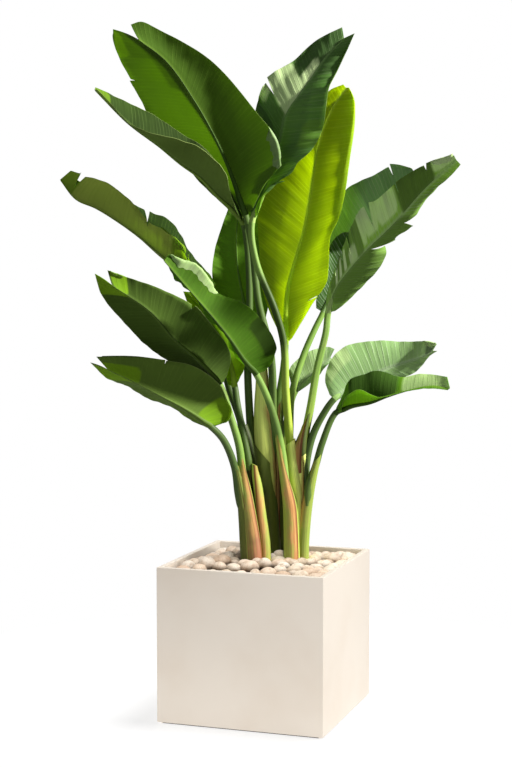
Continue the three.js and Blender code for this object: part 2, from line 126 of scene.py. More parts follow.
class Curve:
    """A smooth line through points, a centripetal Catmull-Rom curve that is read by share of its length."""

    STEPS = 400
    REACH = 0.004  # share of the length on each side over which a direction is taken

    def __init__(self, points: Sequence[Point], start: float = 0.0, end: float = 1.0) -> None:
        """Samples the curve, or a stretch of it.

        Args:
            points: What it runs through.
            start: Where the stretch starts, as a share of the curve's parameter.
            end: Where it ends.
        """
        self.points = np.array(points, float)
        self.line = np.array([self._place(t) for t in np.linspace(start, end, self.STEPS + 1)])
        steps = np.linalg.norm(np.diff(self.line, axis=0), axis=1)
        self.lengths = np.concatenate([[0.0], np.cumsum(steps)])

    @property
    def length(self) -> float:
        """Its length in millimetres."""
        return float(self.lengths[-1])

    def at(self, shares: Array) -> Array:
        """Places at these shares of its length.

        Args:
            shares: From 0 at its start to 1 at its end.

        Returns:
            One row of three numbers for each.
        """
        reached = np.asarray(shares, float) * self.length
        return np.column_stack([np.interp(reached, self.lengths, self.line[:, k]) for k in range(3)])

    def tangents(self, shares: Array) -> Array:
        """The line's directions at these shares of its length, as unit vectors."""
        shares = np.asarray(shares, float)
        return unit(self.at(np.minimum(shares + self.REACH, 1)) - self.at(np.maximum(shares - self.REACH, 0)))

    def _place(self, t: float) -> Array:
        """Where the curve is at a parameter.

        Args:
            t: From 0 to 1.

        Returns:
            The point.
        """
        points = self.points
        last = len(points) - 1
        first = min(int(last * t), last - 1)
        weight = last * t - first
        p1, p2 = points[first], points[first + 1]
        p0 = points[first - 1] if first > 0 else 2 * p1 - p2
        p3 = points[first + 2] if first + 2 <= last else 2 * p2 - p1
        pairs = ((p0, p1), (p1, p2), (p2, p3))
        d0, d1, d2 = (max(float(np.linalg.norm(b - a)) ** 0.5, 1e-4) for a, b in pairs)
        m1 = ((p1 - p0) / d0 - (p2 - p0) / (d0 + d1) + (p2 - p1) / d1) * d1
        m2 = ((p2 - p1) / d1 - (p3 - p1) / (d1 + d2) + (p3 - p2) / d2) * d1
        cubic = 2 * p1 - 2 * p2 + m1 + m2
        square = -3 * p1 + 3 * p2 - 2 * m1 - m2
        return p1 + m1 * weight + square * weight**2 + cubic * weight**3


def unit(vectors: Array) -> Array:
    """The same directions at length 1."""
    return vectors / np.maximum(np.linalg.norm(vectors, axis=-1, keepdims=True), 1e-9)


def smooth(value: Array, low: float, high: float) -> Array:
    """A soft step.

    Args:
        value: What steps.
        low: Where it leaves 0.
        high: Where it reaches 1. It may be less than low.

    Returns:
        Shares from 0 to 1.
    """
    share = np.clip((np.asarray(value, float) - low) / (high - low), 0, 1)
    return share * share * (3 - 2 * share)


def seeded(seed: int) -> float:
    """The first number from 0 to 1 of the frame's own generator, which phases a blade's waves."""
    factor, step, limit = 1664525, 1013904223, 2**32
    return (seed * factor + step) % limit / limit


def carried(tangents: Array, start: Array) -> Array:
    """Carries a direction along a line without twist.

    Args:
        tangents: The line's directions.
        start: The direction at the first of them.

    Returns:
        One unit vector across the line for each tangent.
    """
    found = []
    across = start
    for tangent in tangents:
        across = unit(across - tangent * float(across @ tangent))
        found.append(across)
    return np.array(found)


# --- Meshes -----------------------------------------------------------------------------------------


@dataclass
class Skin:
    """Points and faces, with what is known at each point and each face's material slot.

    Attributes:
        points: One row of x, y and z for each point.
        faces: The corners of each face, in order round it seen from outside.
        values: Named numbers for each point, which the finishes read.
        slots: The material slot of each face.
    """

    points: Array
    faces: list[tuple[int, ...]]
    values: dict[str, Array]
    slots: list[int]

    def welded(self) -> Skin:
        """The same skin with points in one place made one."""
        rounded = np.round(self.points, 5)
        _, first, same = np.unique(rounded, axis=0, return_index=True, return_inverse=True)
        same = same.reshape(-1)
        faces, slots = [], []
        for face, slot in zip(self.faces, self.slots):
            corners = tuple(dict.fromkeys(int(same[i]) for i in face))
            if len(corners) > 2:
                faces.append(corners)
                slots.append(slot)
        values = {name: value[first] for name, value in self.values.items()}
        return Skin(self.points[first], faces, values, slots)

    def normals(self) -> Array:
        """The mean direction of the faces at each point."""
        total = np.zeros_like(self.points)
        for face in self.faces:
            corners = self.points[list(face)]
            normal = np.cross(corners[2] - corners[0], corners[-1] - corners[1])
            total[list(face)] += normal
        return unit(total)

    def thickened(self, thickness: Array, under: int) -> Skin:
        """A closed shell round an open sheet.

        Args:
            thickness: At each point.
            under: The material slot of its underside and rim.

        Returns:
            The shell.
        """
        count = len(self.points)
        offset = self.normals() * thickness[:, None] / 2
        edges: dict[tuple[int, int], int] = {}
        for face in self.faces:
            for a, b in zip(face, face[1:] + face[:1]):
                edges[(a, b)] = edges.get((a, b), 0) + 1
        rim = [(a, b) for a, b in edges if (b, a) not in edges]
        faces = self.faces + [tuple(i + count for i in reversed(face)) for face in self.faces]
        faces += [(b, a, a + count, b + count) for a, b in rim]
        slots = self.slots + [under] * (len(self.faces) + len(rim))
        points = np.concatenate([self.points + offset, self.points - offset])
        values = {name: np.concatenate([value, value]) for name, value in self.values.items()}
        return Skin(points, faces, values, slots)


def joined(skins: Sequence[Skin]) -> Skin:
    """Several skins as one. A value that a skin lacks is 0 on it.

    Args:
        skins: What to join.

    Returns:
        The one skin.
    """
    names = sorted({name for skin in skins for name in skin.values})
    faces: list[tuple[int, ...]] = []
    slots: list[int] = []
    start = 0
    for skin in skins:
        faces += [tuple(i + start for i in face) for face in skin.faces]
        slots += skin.slots
        start += len(skin.points)
    values = {
        name: np.concatenate([s.values.get(name, np.zeros(len(s.points))) for s in skins]) for name in names
    }
    return Skin(np.concatenate([s.points for s in skins]), faces, values, slots)


def grid(rows: int, columns: int, mirrored: bool = False) -> list[tuple[int, ...]]:
    """Faces between rows of points that are numbered row by row.

    Args:
        rows: How many rows there are.
        columns: How many points each has.
        mirrored: Whether the corners go the other way round.

    Returns:
        The corners of each face.
    """
    flat = np.arange(rows * columns).reshape(rows, columns)
    a, b, c, d = flat[:-1, :-1], flat[1:, :-1], flat[1:, 1:], flat[:-1, 1:]
    order = (a, d, c, b) if mirrored else (a, b, c, d)
    return [tuple(int(i) for i in face) for face in np.stack([x.reshape(-1) for x in order], 1)]


def repeated(numbers: Array, count: int) -> Array:
    """A column for each of count points, in which every row holds its own number."""
    return np.repeat(numbers[:, None], count, 1)


def tube(rings: Array, values: dict[str, Array], slot: int = 0) -> Skin:
    """A closed tube through rings of points.

    Args:
        rings: Rings, then points round each, then x, y and z.
        values: Named numbers of the same first two sizes.
        slot: The material slot of its faces.

    Returns:
        The tube, with a face across each end.
    """
    count, sides = rings.shape[:2]
    faces: list[tuple[int, ...]] = []
    for ring in range(count - 1):
        for side in range(sides):
            low, high, ahead = ring * sides, (ring + 1) * sides, (side + 1) % sides
            faces.append((low + side, low + ahead, high + ahead, high + side))
    faces.append(tuple(reversed(range(sides))))
    faces.append(tuple(range((count - 1) * sides, count * sides)))
    flat = {name: value.reshape(-1) for name, value in values.items()}
    return Skin(rings.reshape(-1, 3), faces, flat, [slot] * len(faces))


def placed(points: Array) -> Array:
    """Turns the plant's millimetres (along its fan, away from its front, up) into metres in the frame."""
    return points @ turned(2, FAN_TURN).T * MM


def added(name: str, data: bpy.types.ID) -> bpy.types.Object:
    """Makes an object of this data, in the scene."""
    made = bpy.data.objects.new(name, data)
    bpy.context.scene.collection.objects.link(made)
    return made


def finished(
    name: str, mesh: bpy.types.Mesh, materials: Sequence[bpy.types.Material], crease: float
) -> bpy.types.Object:
    """Shades a mesh and makes its object.

    Args:
        name: The object's name.
        mesh: Its shape.
        materials: What its slots hold.
        crease: Edges sharper than this many degrees stay sharp.

    Returns:
        The object, in the scene.
    """
    for material in materials:
        mesh.materials.append(material)
    mesh.polygons.foreach_set("use_smooth", [True] * len(mesh.polygons))
    mesh.set_sharp_from_angle(angle=math.radians(crease))
    mesh.update()
    return added(name, mesh)


def build(
    name: str, skin: Skin, materials: Sequence[bpy.types.Material], crease: float = 50.0
) -> bpy.types.Object:
    """Makes the object of a skin.

    Args:
        name: The object's name.
        skin: Its shape, in metres.
        materials: What its slots hold.
        crease: Edges sharper than this many degrees stay sharp.

    Returns:
        The object, in the scene.
    """
    mesh = bpy.data.meshes.new(name)
    mesh.from_pydata(skin.points.tolist(), [], skin.faces)
    for key, value in skin.values.items():
        mesh.attributes.new(key, "FLOAT", "POINT").data.foreach_set("value", value.astype(np.float32))
    made = finished(name, mesh, materials, crease)
    mesh.polygons.foreach_set("material_index", skin.slots)
    mesh.update()
    return made


def install(piece: bpy.types.Object, node: str, slot: str) -> None:
    """Puts a piece in the place of its node.

    Args:
        piece: The finished object.
        node: The frame's node that it stands for.
        slot: The record's material slot of its finish.
    """
    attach(piece, BODY)
    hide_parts(node)
    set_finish(piece, slot)
    log.info("%s: %d faces", piece.name, len(piece.data.polygons))


# --- Shader expressions -----------------------------------------------------------------------------

Operand = Union["Value", float]


class Value:
    """An output of a shader's node. Arithmetic on it adds Math nodes."""

    def __init__(self, shader: Shader, socket: bpy.types.NodeSocket) -> None:
        """Wraps a socket of a shader."""
        self.shader = shader
        self.socket = socket

    def _math(self, operation: str, first: Operand, second: Operand) -> Value:
        """One Math node on two operands."""
        return self.shader.node("Math", {"operation": operation}, {0: first, 1: second})

    def __add__(self, other: Operand) -> Value:
        """self + other."""
        return self._math("ADD", self, other)

    def __radd__(self, other: Operand) -> Value:
        """other + self."""
        return self._math("ADD", other, self)

    def __sub__(self, other: Operand) -> Value:
        """self - other."""
        return self._math("SUBTRACT", self, other)

    def __rsub__(self, other: Operand) -> Value:
        """other - self."""
        return self._math("SUBTRACT", other, self)

    def __mul__(self, other: Operand) -> Value:
        """self * other."""
        return self._math("MULTIPLY", self, other)

    def __rmul__(self, other: Operand) -> Value:
        """other * self."""
        return self._math("MULTIPLY", other, self)

    def folded(self, half: float) -> Value:
        """It as a zigzag from 0 to half and back."""
        return self._math("PINGPONG", self, half)

    def stepped(self, low: float, high: float) -> Value:
        """A soft step from 0 at low to 1 at high."""
        limits = {"Value": self, "From Min": low, "From Max": high}
        return self.shader.node("MapRange", {"interpolation_type": "SMOOTHSTEP"}, limits)


class Shader:
    """The nodes of a material or of the world, and the one way to add to them."""

    def __init__(self, name: str, kind: str = "Material") -> None:
        """Starts an empty Material or World of this name."""
        self.kind = kind
        self.owner = (bpy.data.worlds if kind == "World" else bpy.data.materials).new(name)
        self.owner.use_nodes = True
        self.nodes = self.owner.node_tree.nodes
        self.links = self.owner.node_tree.links
        self.nodes.clear()

    def node(
        self,
        kind: str,
        settings: dict[str, object] | None = None,
        inputs: dict[str | int, object] | None = None,
        output: str | int = 0,
    ) -> Value:
        """Adds a node.

        Args:
            kind: Its type, without ShaderNode in front.
            settings: What to set on it first. stops holds a ramp's places and colours.
            inputs: A value or a link for each of its sockets, by name or number.
            output: Which of its outputs is wanted.

        Returns:
            That output.
        """
        made = self.nodes.new(f"ShaderNode{kind}")
        for key, value in (settings or {}).items():
            if key == "stops":
                self._stops(made.color_ramp, value)
            else:
                setattr(made, key, value)
        for key, value in (inputs or {}).items():
            if isinstance(value, Value):
                self.links.new(value.socket, made.inputs[key])
            else:
                made.inputs[key].default_value = value
        return Value(self, made.outputs[output])

    @staticmethod
    def _stops(ramp: bpy.types.ColorRamp, stops: Sequence[tuple[float, Colour]]) -> None:
        """Sets a ramp's places and colours.

        Args:
            ramp: The ramp.
            stops: The place and the colour of each of its stops.
        """
        while len(ramp.elements) < len(stops):
            ramp.elements.new(0.5)
        for element, (place, tint) in zip(ramp.elements, stops):
            element.position, element.color = place, tint

    def known(self, name: str) -> Value:
        """A number that the mesh holds at each point."""
        return self.node("Attribute", {"attribute_name": name}, output="Fac")

    def noise(self, where: Value, scale: float, detail: float = 3.0) -> Value:
        """Soft noise round 0.5.

        Args:
            where: The place that it is read at.
            scale: How many features there are to one unit.
            detail: How many finer layers it has.

        Returns:
            The noise.
        """
        return self.node("TexNoise", None, {"Vector": where, "Scale": scale, "Detail": detail}, "Fac")

    def place(self) -> Value:
        """The place on the object, in metres."""
        return self.node("TexCoord", output="Object")

    def vector(self, x: Operand, y: Operand, z: Operand) -> Value:
        """Three numbers as one vector."""
        return self.node("CombineXYZ", None, {0: x, 1: y, 2: z})

    def mixed(self, first: Value | Colour, second: Value | Colour, share: Operand) -> Value:
        """A colour between two others."""
        return self.node("Mix", {"data_type": "RGBA"}, {0: share, 6: first, 7: second}, 2)

    def bump(self, height: Value, strength: float, depth: float) -> Value:
        """The normal of a fine relief.

        Args:
            height: The relief, from 0 to 1.
            strength: How much of it shows.
            depth: Its height in metres.

        Returns:
            The normal.
        """
        return self.node("Bump", None, {"Strength": strength, "Distance": depth, "Height": height})

    def coat(self, tint: Value, roughness: Operand, normal: Value, shine: float = 0.5) -> Value:
        """A surface that reflects light.

        Args:
            tint: Its colour.
            roughness: Its roughness.
            normal: The normal of its relief.
            shine: How strongly it mirrors light.

        Returns:
            The surface.
        """
        skin = {"Base Color": tint, "Roughness": roughness, "Normal": normal, "Specular IOR Level": shine}
        return self.node("BsdfPrincipled", None, skin)

    def thin(self, coat: Value, glow: int, share: Operand) -> Value:
        """A surface with some of its reflection given up to light that comes through.

        Args:
            coat: The surface that reflects.
            glow: The colour of the light that comes through.
            share: How much comes through.

        Returns:
            The surface.
        """
        passing = self.node("BsdfTranslucent", None, {"Color": colour(glow)})
        return self.node("MixShader", None, {0: share, 1: coat, 2: passing})

    def finish(self, surface: Value) -> bpy.types.Material | bpy.types.World:
        """Ends the material or the world with its surface."""
        end = self.nodes.new(f"ShaderNodeOutput{self.kind}")
        self.links.new(surface.socket, end.inputs["Surface"])
        return self.owner


# --- Finishes ---------------------------------------------------------------------------------------


@dataclass(frozen=True)
class LeafFinish:
    """A blade's skin: parallel side veins, a pale edge, light coming through, and painted shade, sheen and
    glow.

    Attributes:
        upper: The upper face's colour.
        under: The underside's colour.
        glow: The colour of light that has come through.
        through: The share of light that passes.
        gloss: The upper face's roughness.
        veins: How strongly the side veins show.
        vein: The side veins' colour.
        rib: The midrib's colour.
        shine: How strongly the upper face mirrors light.
        clear: The share of light that passes the midrib.
    """

    upper: int
    under: int
    glow: int
    through: float = 0.35
    gloss: float = 0.36
    veins: float = 0.5
    vein: int = 0x8FB060
    rib: int = 0x6E8A34
    shine: float = 0.4
    clear: float = 0.0

    VEIN_PITCH = 0.0085  # metres between main side veins
    EDGE = 0xA9BC72  # the margin's colour
    PALE = 0xD4ECAC  # the colour of a painted sheen patch
    LIME = 0x86B41A  # the colour of a painted sunlit glow patch
    DARK = 0.45  # brightness of the clouds and bands, over the base colour's
    SHADED = 0.3  # brightness of a painted shade patch, over the base colour's
    UNDER_ROUGHER = 0.2  # how much rougher the underside is
    UNDER_SHINE = 0.15

    def faces(self, name: str) -> list[bpy.types.Material]:
        """The upper face's material, the underside's, and the midrib's."""
        rougher = self.gloss + self.UNDER_ROUGHER
        return [
            self._face(f"{name}_upper", self.upper, self.gloss, self.veins, self.shine),
            self._face(f"{name}_under", self.under, rougher, self.veins * 0.5, self.UNDER_SHINE),
            self._rib(f"{name}_rib"),
        ]

    def _rib(self, name: str) -> bpy.types.Material:
        """Builds the midrib's material."""
        s = Shader(name)
        fibres = s.noise(s.vector(s.known("along") * 12, s.known("around") * 24, 0.0), 1.0, 3.0)
        tint = s.mixed(colour(self.under), colour(self.rib), 0.55 + fibres * 0.5)
        coat = s.coat(tint, 0.55 + fibres * 0.15, s.bump(fibres, 0.3, 0.0006), 0.12)
        return s.finish(s.thin(coat, self.glow, self.clear))

    def _face(
        self, name: str, base: int, roughness: float, veins: float, shine: float
    ) -> bpy.types.Material:
        """Builds one face's material.

        Args:
            name: The material's name.
            base: Its main colour.
            roughness: Its roughness where it is smoothest.
            veins: How strongly its side veins show.
            shine: How strongly it mirrors light.

        Returns:
            The material.
        """
        s = Shader(name)
        along, aside, reach = s.known("along"), s.known("aside"), s.known("reach")
        # The patches of painted shade, painted sheen and painted sunlit glow.
        shade, silver, lime = (s.known(tone.value) for tone in Tone)
        drift = s.noise(s.vector(along * 26, reach * 5, 0.0), 1.0)
        line = 1 - ((along * (1 / self.VEIN_PITCH) + drift * 1.3).folded(0.5) * 2).stepped(0.0, 0.26)
        line = line * s.noise(s.vector(along * 60, reach * 12, 3.0), 1.0).stepped(0.32, 0.62)
        streak = s.noise(s.vector(along * 380, reach * 8, 0.0), 1.0, 4.0)
        band = s.noise(s.vector(along * 34, reach * 3, 7.0), 1.0, 2.0)
        broad = s.noise(s.place(), 7.0, 2.0)
        dark = dimmed(base, self.DARK)
        tint = s.mixed(colour(base), dark, broad.stepped(0.5, 0.75) * 0.45)
        tint = s.mixed(tint, dark, (band - 0.1).stepped(0.35, 0.65) * 0.3 * veins)
        tint = s.mixed(tint, colour(self.vein), (streak - 0.42).stepped(0.0, 0.4) * 0.25 * veins)
        tint = s.mixed(tint, colour(self.vein), line * 0.8 * veins)
        tint = s.mixed(tint, colour(self.vein), reach.stepped(0.009, 0.003) * 0.3)
        tint = s.mixed(tint, colour(self.EDGE), aside.stepped(0.985, 1.0) * 0.5)
        # Painted shade darkens the blade, painted glow turns it lime and painted sheen turns it pale.
        tint = s.mixed(tint, dimmed(base, self.SHADED), shade)
        tint = s.mixed(tint, colour(self.LIME), lime * (0.6 + streak * 0.5))
        tint = s.mixed(tint, colour(self.PALE), silver * (0.75 + streak * 0.4))
        relief = s.bump(line * 0.6 + streak * 0.15 + band * 0.4, 0.35 * veins + 0.08, 0.0022)
        coat = s.coat(tint, roughness + streak * 0.12 + broad * 0.1 + shade * 0.4, relief, shine)
        share = self.through * (1 + line * 0.45 * veins) * (0.75 + broad * 0.5)
        # Less light passes where shade is painted and more where glow is painted.
        return s.finish(s.thin(coat, self.glow, share * (1 - shade * 0.7) + lime * 0.18))


@dataclass(frozen=True)
class StalkFinish:
    """A stalk's waxy green skin with fine lines along it.

    Attributes:
        base: Its colour.
        foot: Its colour towards the foot.
        ripe: The colour of a yellowing stalk.
        old: The dark colour of an aged stalk, which also paints shade on it.
        patch: The colour of its dry patches.
        roughness: Its roughness.
    """

    base: int = 0x6F9040
    foot: int = 0x86A44A
    ripe: int = 0xA4B83C
    old: int = 0x2E4416
    patch: int = 0x8A7B42
    roughness: float = 0.5

    def material(self, name: str) -> bpy.types.Material:
        """Builds the stalk's material."""
        s = Shader(name)
        along, around, rise = s.known("along"), s.known("around"), s.known("rise")
        fibres = s.noise(s.vector(along * 7, around * 26, 0.0), 1.0, 4.0)
        patches = s.noise(s.place(), 18.0, 3.0)
        tint = s.mixed(colour(self.foot), colour(self.base), rise.stepped(0.0, 0.55))
        tint = s.mixed(tint, colour(self.ripe), s.known("warm") * rise.stepped(0.75, 0.1))
        tint = s.mixed(tint, dimmed(self.base, 0.55), fibres.stepped(0.45, 0.75) * 0.5)
        tint = s.mixed(tint, colour(self.patch), patches.stepped(0.62, 0.8) * 0.3)
        # Darker with age, and with painted shade.
        tint = s.mixed(tint, colour(self.old), s.known("old"))
        return s.finish(s.coat(tint, self.roughness + patches * 0.12, s.bump(fibres, 0.4, 0.0008), 0.3))


@dataclass(frozen=True)
class SheathFinish:
    """A sheath's ribbed green skin, blushed pink and brown at its margin and its foot.

    Attributes:
        base: Its main colour.
        blush: The colour at its margin.
        stain: The colour of the streaks in that.
        foot: The colour at its foot.
        edge: The dry rim of the margin.
        fresh: The colour of a young sheath, which also paints light on it.
        shade: What darkens an aged sheath and paints shade on it.
    """

    base: int = 0x9CB04E
    blush: int = 0xC89A62
    stain: int = 0x9E6A38
    foot: int = 0x8A5848
    edge: int = 0x70421E
    fresh: int = 0xDCEA7C
    shade: int = 0x4E5A28

    def material(self, name: str) -> bpy.types.Material:
        """Builds the sheath's material."""
        s = Shader(name)
        along, around = s.known("along"), s.known("around")
        margin, rise, warm = s.known("margin"), s.known("rise"), s.known("warm")
        fibres = s.noise(s.vector(along * 9, around * 34, warm), 1.0, 4.0)
        patches = s.noise(s.place(), 24.0, 3.0)
        # A young sheath's paler green, partly painted light.
        fresh = s.known("fresh")
        tint = s.mixed(colour(self.base), colour(self.fresh), fresh)
        tint = s.mixed(tint, dimmed(self.base, 0.5), fibres.stepped(0.4, 0.8) * (0.65 - fresh * 0.4))
        streaks = s.noise(s.vector(along * 16, around * 90, warm), 1.0, 3.0)
        torn = margin + (fibres - 0.5) * 0.35
        blush = (torn * 1.5 + patches * 1.2 + fibres * 0.4 - 0.95).stepped(0.1, 0.8) * warm
        tint = s.mixed(tint, colour(self.blush), blush * 0.85 * rise.stepped(1.0, 0.6))
        tint = s.mixed(tint, colour(self.stain), blush * (streaks + torn * 0.25).stepped(0.52, 0.7) * 0.6)
        low = (rise + patches * 0.5 - 0.3).stepped(0.62, 0.15) * (torn * 2.4 + patches).stepped(0.5, 1.2)
        tint = s.mixed(tint, colour(self.foot), low * s.known("brown"))
        tint = s.mixed(tint, colour(self.edge), torn.stepped(0.74, 0.84) * 0.9)
        # Darker with age, and with painted shade.
        aged_and_shaded = s.known("old") * (1 - blush * 0.6)
        multiplied = {"data_type": "RGBA", "blend_type": "MULTIPLY"}
        tint = s.node("Mix", multiplied, {0: aged_and_shaded, 6: tint, 7: colour(self.shade)}, 2)
        return s.finish(s.coat(tint, 0.46 + patches * 0.2, s.bump(fibres, 0.6, 0.0014), 0.3))


@dataclass(frozen=True)
class StoneFinish:
    """Tumbled pebbles, each of its own cream, beige or pink, with soft bands, specks and painted shade
    between them.

    Attributes:
        tints: The places and colours of the ramp that a stone's colour is drawn from.
        band: The colour of the bands.
        speck: The colour of the specks.
        deep: The colour of the painted shade between the stones.
    """

    tints: tuple[tuple[float, int], ...] = (
        (0.0, 0xD8C6AE), (0.3, 0xE6D8C6), (0.55, 0xD9BFA6), (0.8, 0xEFE6D8), (1.0, 0xC9AC92),
    )
    band: int = 0xB08E70
    speck: int = 0x806850
    deep: int = 0x4A3826

    def material(self, name: str) -> bpy.types.Material:
        """Builds the pebbles' material."""
        s = Shader(name)
        bands, specks = s.noise(s.place(), 80.0, 4.0), s.noise(s.place(), 420.0, 2.0)
        stops = [(place, colour(code)) for place, code in self.tints]
        tint = s.node("ValToRGB", {"stops": stops}, {"Fac": s.known("tint")})
        tint = s.mixed(tint, colour(self.band), bands.stepped(0.48, 0.7) * 0.55)
        tint = s.mixed(tint, colour(self.speck), specks.stepped(0.56, 0.7) * 0.45)
        # Painted shade low between the stones.
        tint = s.mixed(tint, colour(self.deep), s.known("deep") * (0.75 + bands * 0.4))
        return s.finish(s.coat(tint, 0.5 + bands * 0.2, s.bump(bands + specks * 0.3, 0.25, 0.0008)))


@dataclass(frozen=True)
class PlanterFinish:
    """The planter's matte cream coat, faintly mottled, with a fine grain.

    Attributes:
        base: Its colour.
        mottle: The colour of its faint clouds.
        fleck: The colour of its grain.
    """

    base: int = 0xE9DED0
    mottle: int = 0xDFD0BE
    fleck: int = 0xD2C2AE

    def material(self, name: str) -> bpy.types.Material:
        """Builds the planter's material."""
        s = Shader(name)
        cloud = s.noise(s.place(), 5.0, 3.0)
        grain = s.noise(s.place(), 900.0, 2.0)
        tint = s.mixed(colour(self.base), colour(self.mottle), cloud.stepped(0.4, 0.75) * 0.5)
        tint = s.mixed(tint, colour(self.fleck), grain.stepped(0.6, 0.75) * 0.25)
        return s.finish(s.coat(tint, 0.6 + cloud * 0.12, s.bump(grain, 0.12, 0.0004)))


@dataclass(frozen=True)
class SoilFinish:
    """Dark, crumbly potting soil.

    Attributes:
        base: Its main colour.
        crumb: The colour of its crumbs.
        bark: The colour of the bark in it.
    """

    base: int = 0x2A1D14
    crumb: int = 0x5A4330
    bark: int = 0x6E5138

    def material(self, name: str) -> bpy.types.Material:
        """Builds the soil's material."""
        s = Shader(name)
        crumbs, bark = s.noise(s.place(), 160.0, 5.0), s.noise(s.place(), 45.0, 2.0)
        tint = s.mixed(colour(self.base), colour(self.crumb), crumbs.stepped(0.45, 0.7))
        tint = s.mixed(tint, colour(self.bark), bark.stepped(0.62, 0.7) * 0.6)
        return s.finish(s.coat(tint, 0.88 + crumbs * 0.1, s.bump(crumbs, 0.8, 0.004)))


@dataclass(frozen=True)
class FloorFinish:
    """The studio's pale matte floor.

    Attributes:
        base: Its colour.
        cloud: The colour that it drifts towards.
        glow: How strongly it shines by itself, so that it shows as pale as the surround.
    """

    base: int = 0xA6A6A6
    cloud: int = 0xA0A0A0
    glow: float = 0.76

    def material(self, name: str) -> bpy.types.Material:
        """Builds the floor's material."""
        s = Shader(name)
        cloud = s.noise(s.place(), 2.0, 2.0)
        skin = {
            "Base Color": s.mixed(colour(self.base), colour(self.cloud), cloud),
            "Roughness": 0.8 + cloud * 0.05,
            "Emission Color": WHITE,
            "Emission Strength": self.glow,
        }
        return s.finish(s.node("BsdfPrincipled", None, skin))


# --- Planter, soil and pebbles ----------------------------------------------------------------------


@dataclass(frozen=True)
class Planter:
    """A square planter with softly rounded edges.

    Attributes:
        wall: Its thickness in metres.
        floor: The thickness of its bottom.
        edge: The radius of its edges.
        foot: The height of the dark foot that it stands on, whose dark colour paints the contact shadow.
        recess: How far the foot is set back.
    """

    wall: float = 18 * MM
    floor: float = 20 * MM
    edge: float = 1.5 * MM
    foot: float = 3 * MM
    recess: float = 6 * MM

    def add(self) -> None:
        """Builds it in its node's box."""
        low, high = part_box("pot")
        mesh = bpy.data.meshes.new("planter")
        bm = bmesh.new()
        bmesh.ops.create_cube(bm, size=1.0)
        for vert in bm.verts:
            vert.co = Vector((low[k] + (vert.co[k] + 0.5) * (high[k] - low[k]) for k in range(3)))
            if vert.co.z < low.z + self.foot:
                vert.co.z += self.foot
        top = max(bm.faces, key=lambda face: face.calc_center_median().z)
        bmesh.ops.inset_individual(bm, faces=[top], thickness=self.wall)
        inner = bmesh.ops.extrude_face_region(bm, geom=[top])
        depth = high.z - low.z - self.floor
        moved = [item for item in inner["geom"] if isinstance(item, bmesh.types.BMVert)]
        bmesh.ops.translate(bm, verts=moved, vec=(0, 0, -depth))
        bmesh.ops.delete(bm, geom=[top], context="FACES_ONLY")
        bmesh.ops.bevel(bm, geom=bm.edges[:], offset=self.edge, segments=4, profile=0.5, affect="EDGES")
        self._stand(bm, Vector(low), Vector(high))
        bmesh.ops.recalc_face_normals(bm, faces=bm.faces[:])
        bm.to_mesh(mesh)
        bm.free()
        # The foot's dark coat paints the contact shadow along the planter's bottom.
        foot = PlanterFinish(base=0x2A2622, mottle=0x201C1A, fleck=0x36302A)
        materials = (PlanterFinish().material("planter"), foot.material("planter_foot_shadow"))
        install(finished("planter", mesh, materials, 40), "pot", "pot")

    def _stand(self, bm: bmesh.types.BMesh, low: Vector, high: Vector) -> None:
        """Adds the dark foot, which paints the contact shadow at the floor.

        Args:
            bm: The mesh that it is added to.
            low: The lowest corner of the planter's box.
            high: Its highest corner.
        """
        foot = bmesh.ops.create_cube(bm, size=1.0)["verts"]
        for vert in foot:
            for k in range(2):
                middle, half = (low[k] + high[k]) / 2, (high[k] - low[k]) / 2 - self.recess
                vert.co[k] = middle + math.copysign(half, vert.co[k])
            vert.co.z = low.z if vert.co.z < 0 else low.z + self.foot + self.edge
        for face in {face for vert in foot for face in vert.link_faces}:
            face.material_index = 1
        edges = {edge for vert in foot for edge in vert.link_edges}
        upright = [edge for edge in edges if edge.verts[0].co.z != edge.verts[1].co.z]
        bmesh.ops.bevel(bm, geom=upright, offset=self.recess, segments=5, profile=0.5, affect="EDGES")


@dataclass(frozen=True)
class Soil:
    """The soil that fills the planter, its top left rough.

    Attributes:
        steps: Squares along each side of its top.
        roughness: How far its top rises and falls, in metres.
    """

    steps: int = 48
    roughness: float = 4 * MM

    def add(self) -> None:
        """Builds it in its node's box."""
        low, high = (np.array(corner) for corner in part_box("soil"))
        rng = np.random.default_rng(5)
        n = self.steps + 1
        x, y = np.meshgrid(np.linspace(low[0], high[0], n), np.linspace(low[1], high[1], n), indexing="ij")
        inside = np.zeros((n, n))
        inside[1:-1, 1:-1] = rng.random((n - 2, n - 2))
        top = np.stack([x, y, high[2] - self.roughness * inside], -1)
        border = [(i, 0) for i in range(n)] + [(n - 1, j) for j in range(1, n)]
        border += [(i, n - 1) for i in range(n - 2, -1, -1)] + [(0, j) for j in range(n - 2, 0, -1)]
        faces = grid(n, n)
        foot = np.array([[x[i, j], y[i, j], low[2]] for i, j in border])
        first = n * n
        for k, (i, j) in enumerate(border):
            ahead = (k + 1) % len(border)
            other = border[ahead]
            faces.append((first + k, first + ahead, other[0] * n + other[1], i * n + j))
        faces.append(tuple(first + k for k in reversed(range(len(border)))))
        skin = Skin(np.concatenate([top.reshape(-1, 3), foot]), faces, {}, [0] * len(faces))
        install(build("soil_fill", skin, [SoilFinish().material("soil")]), "soil", "soil")


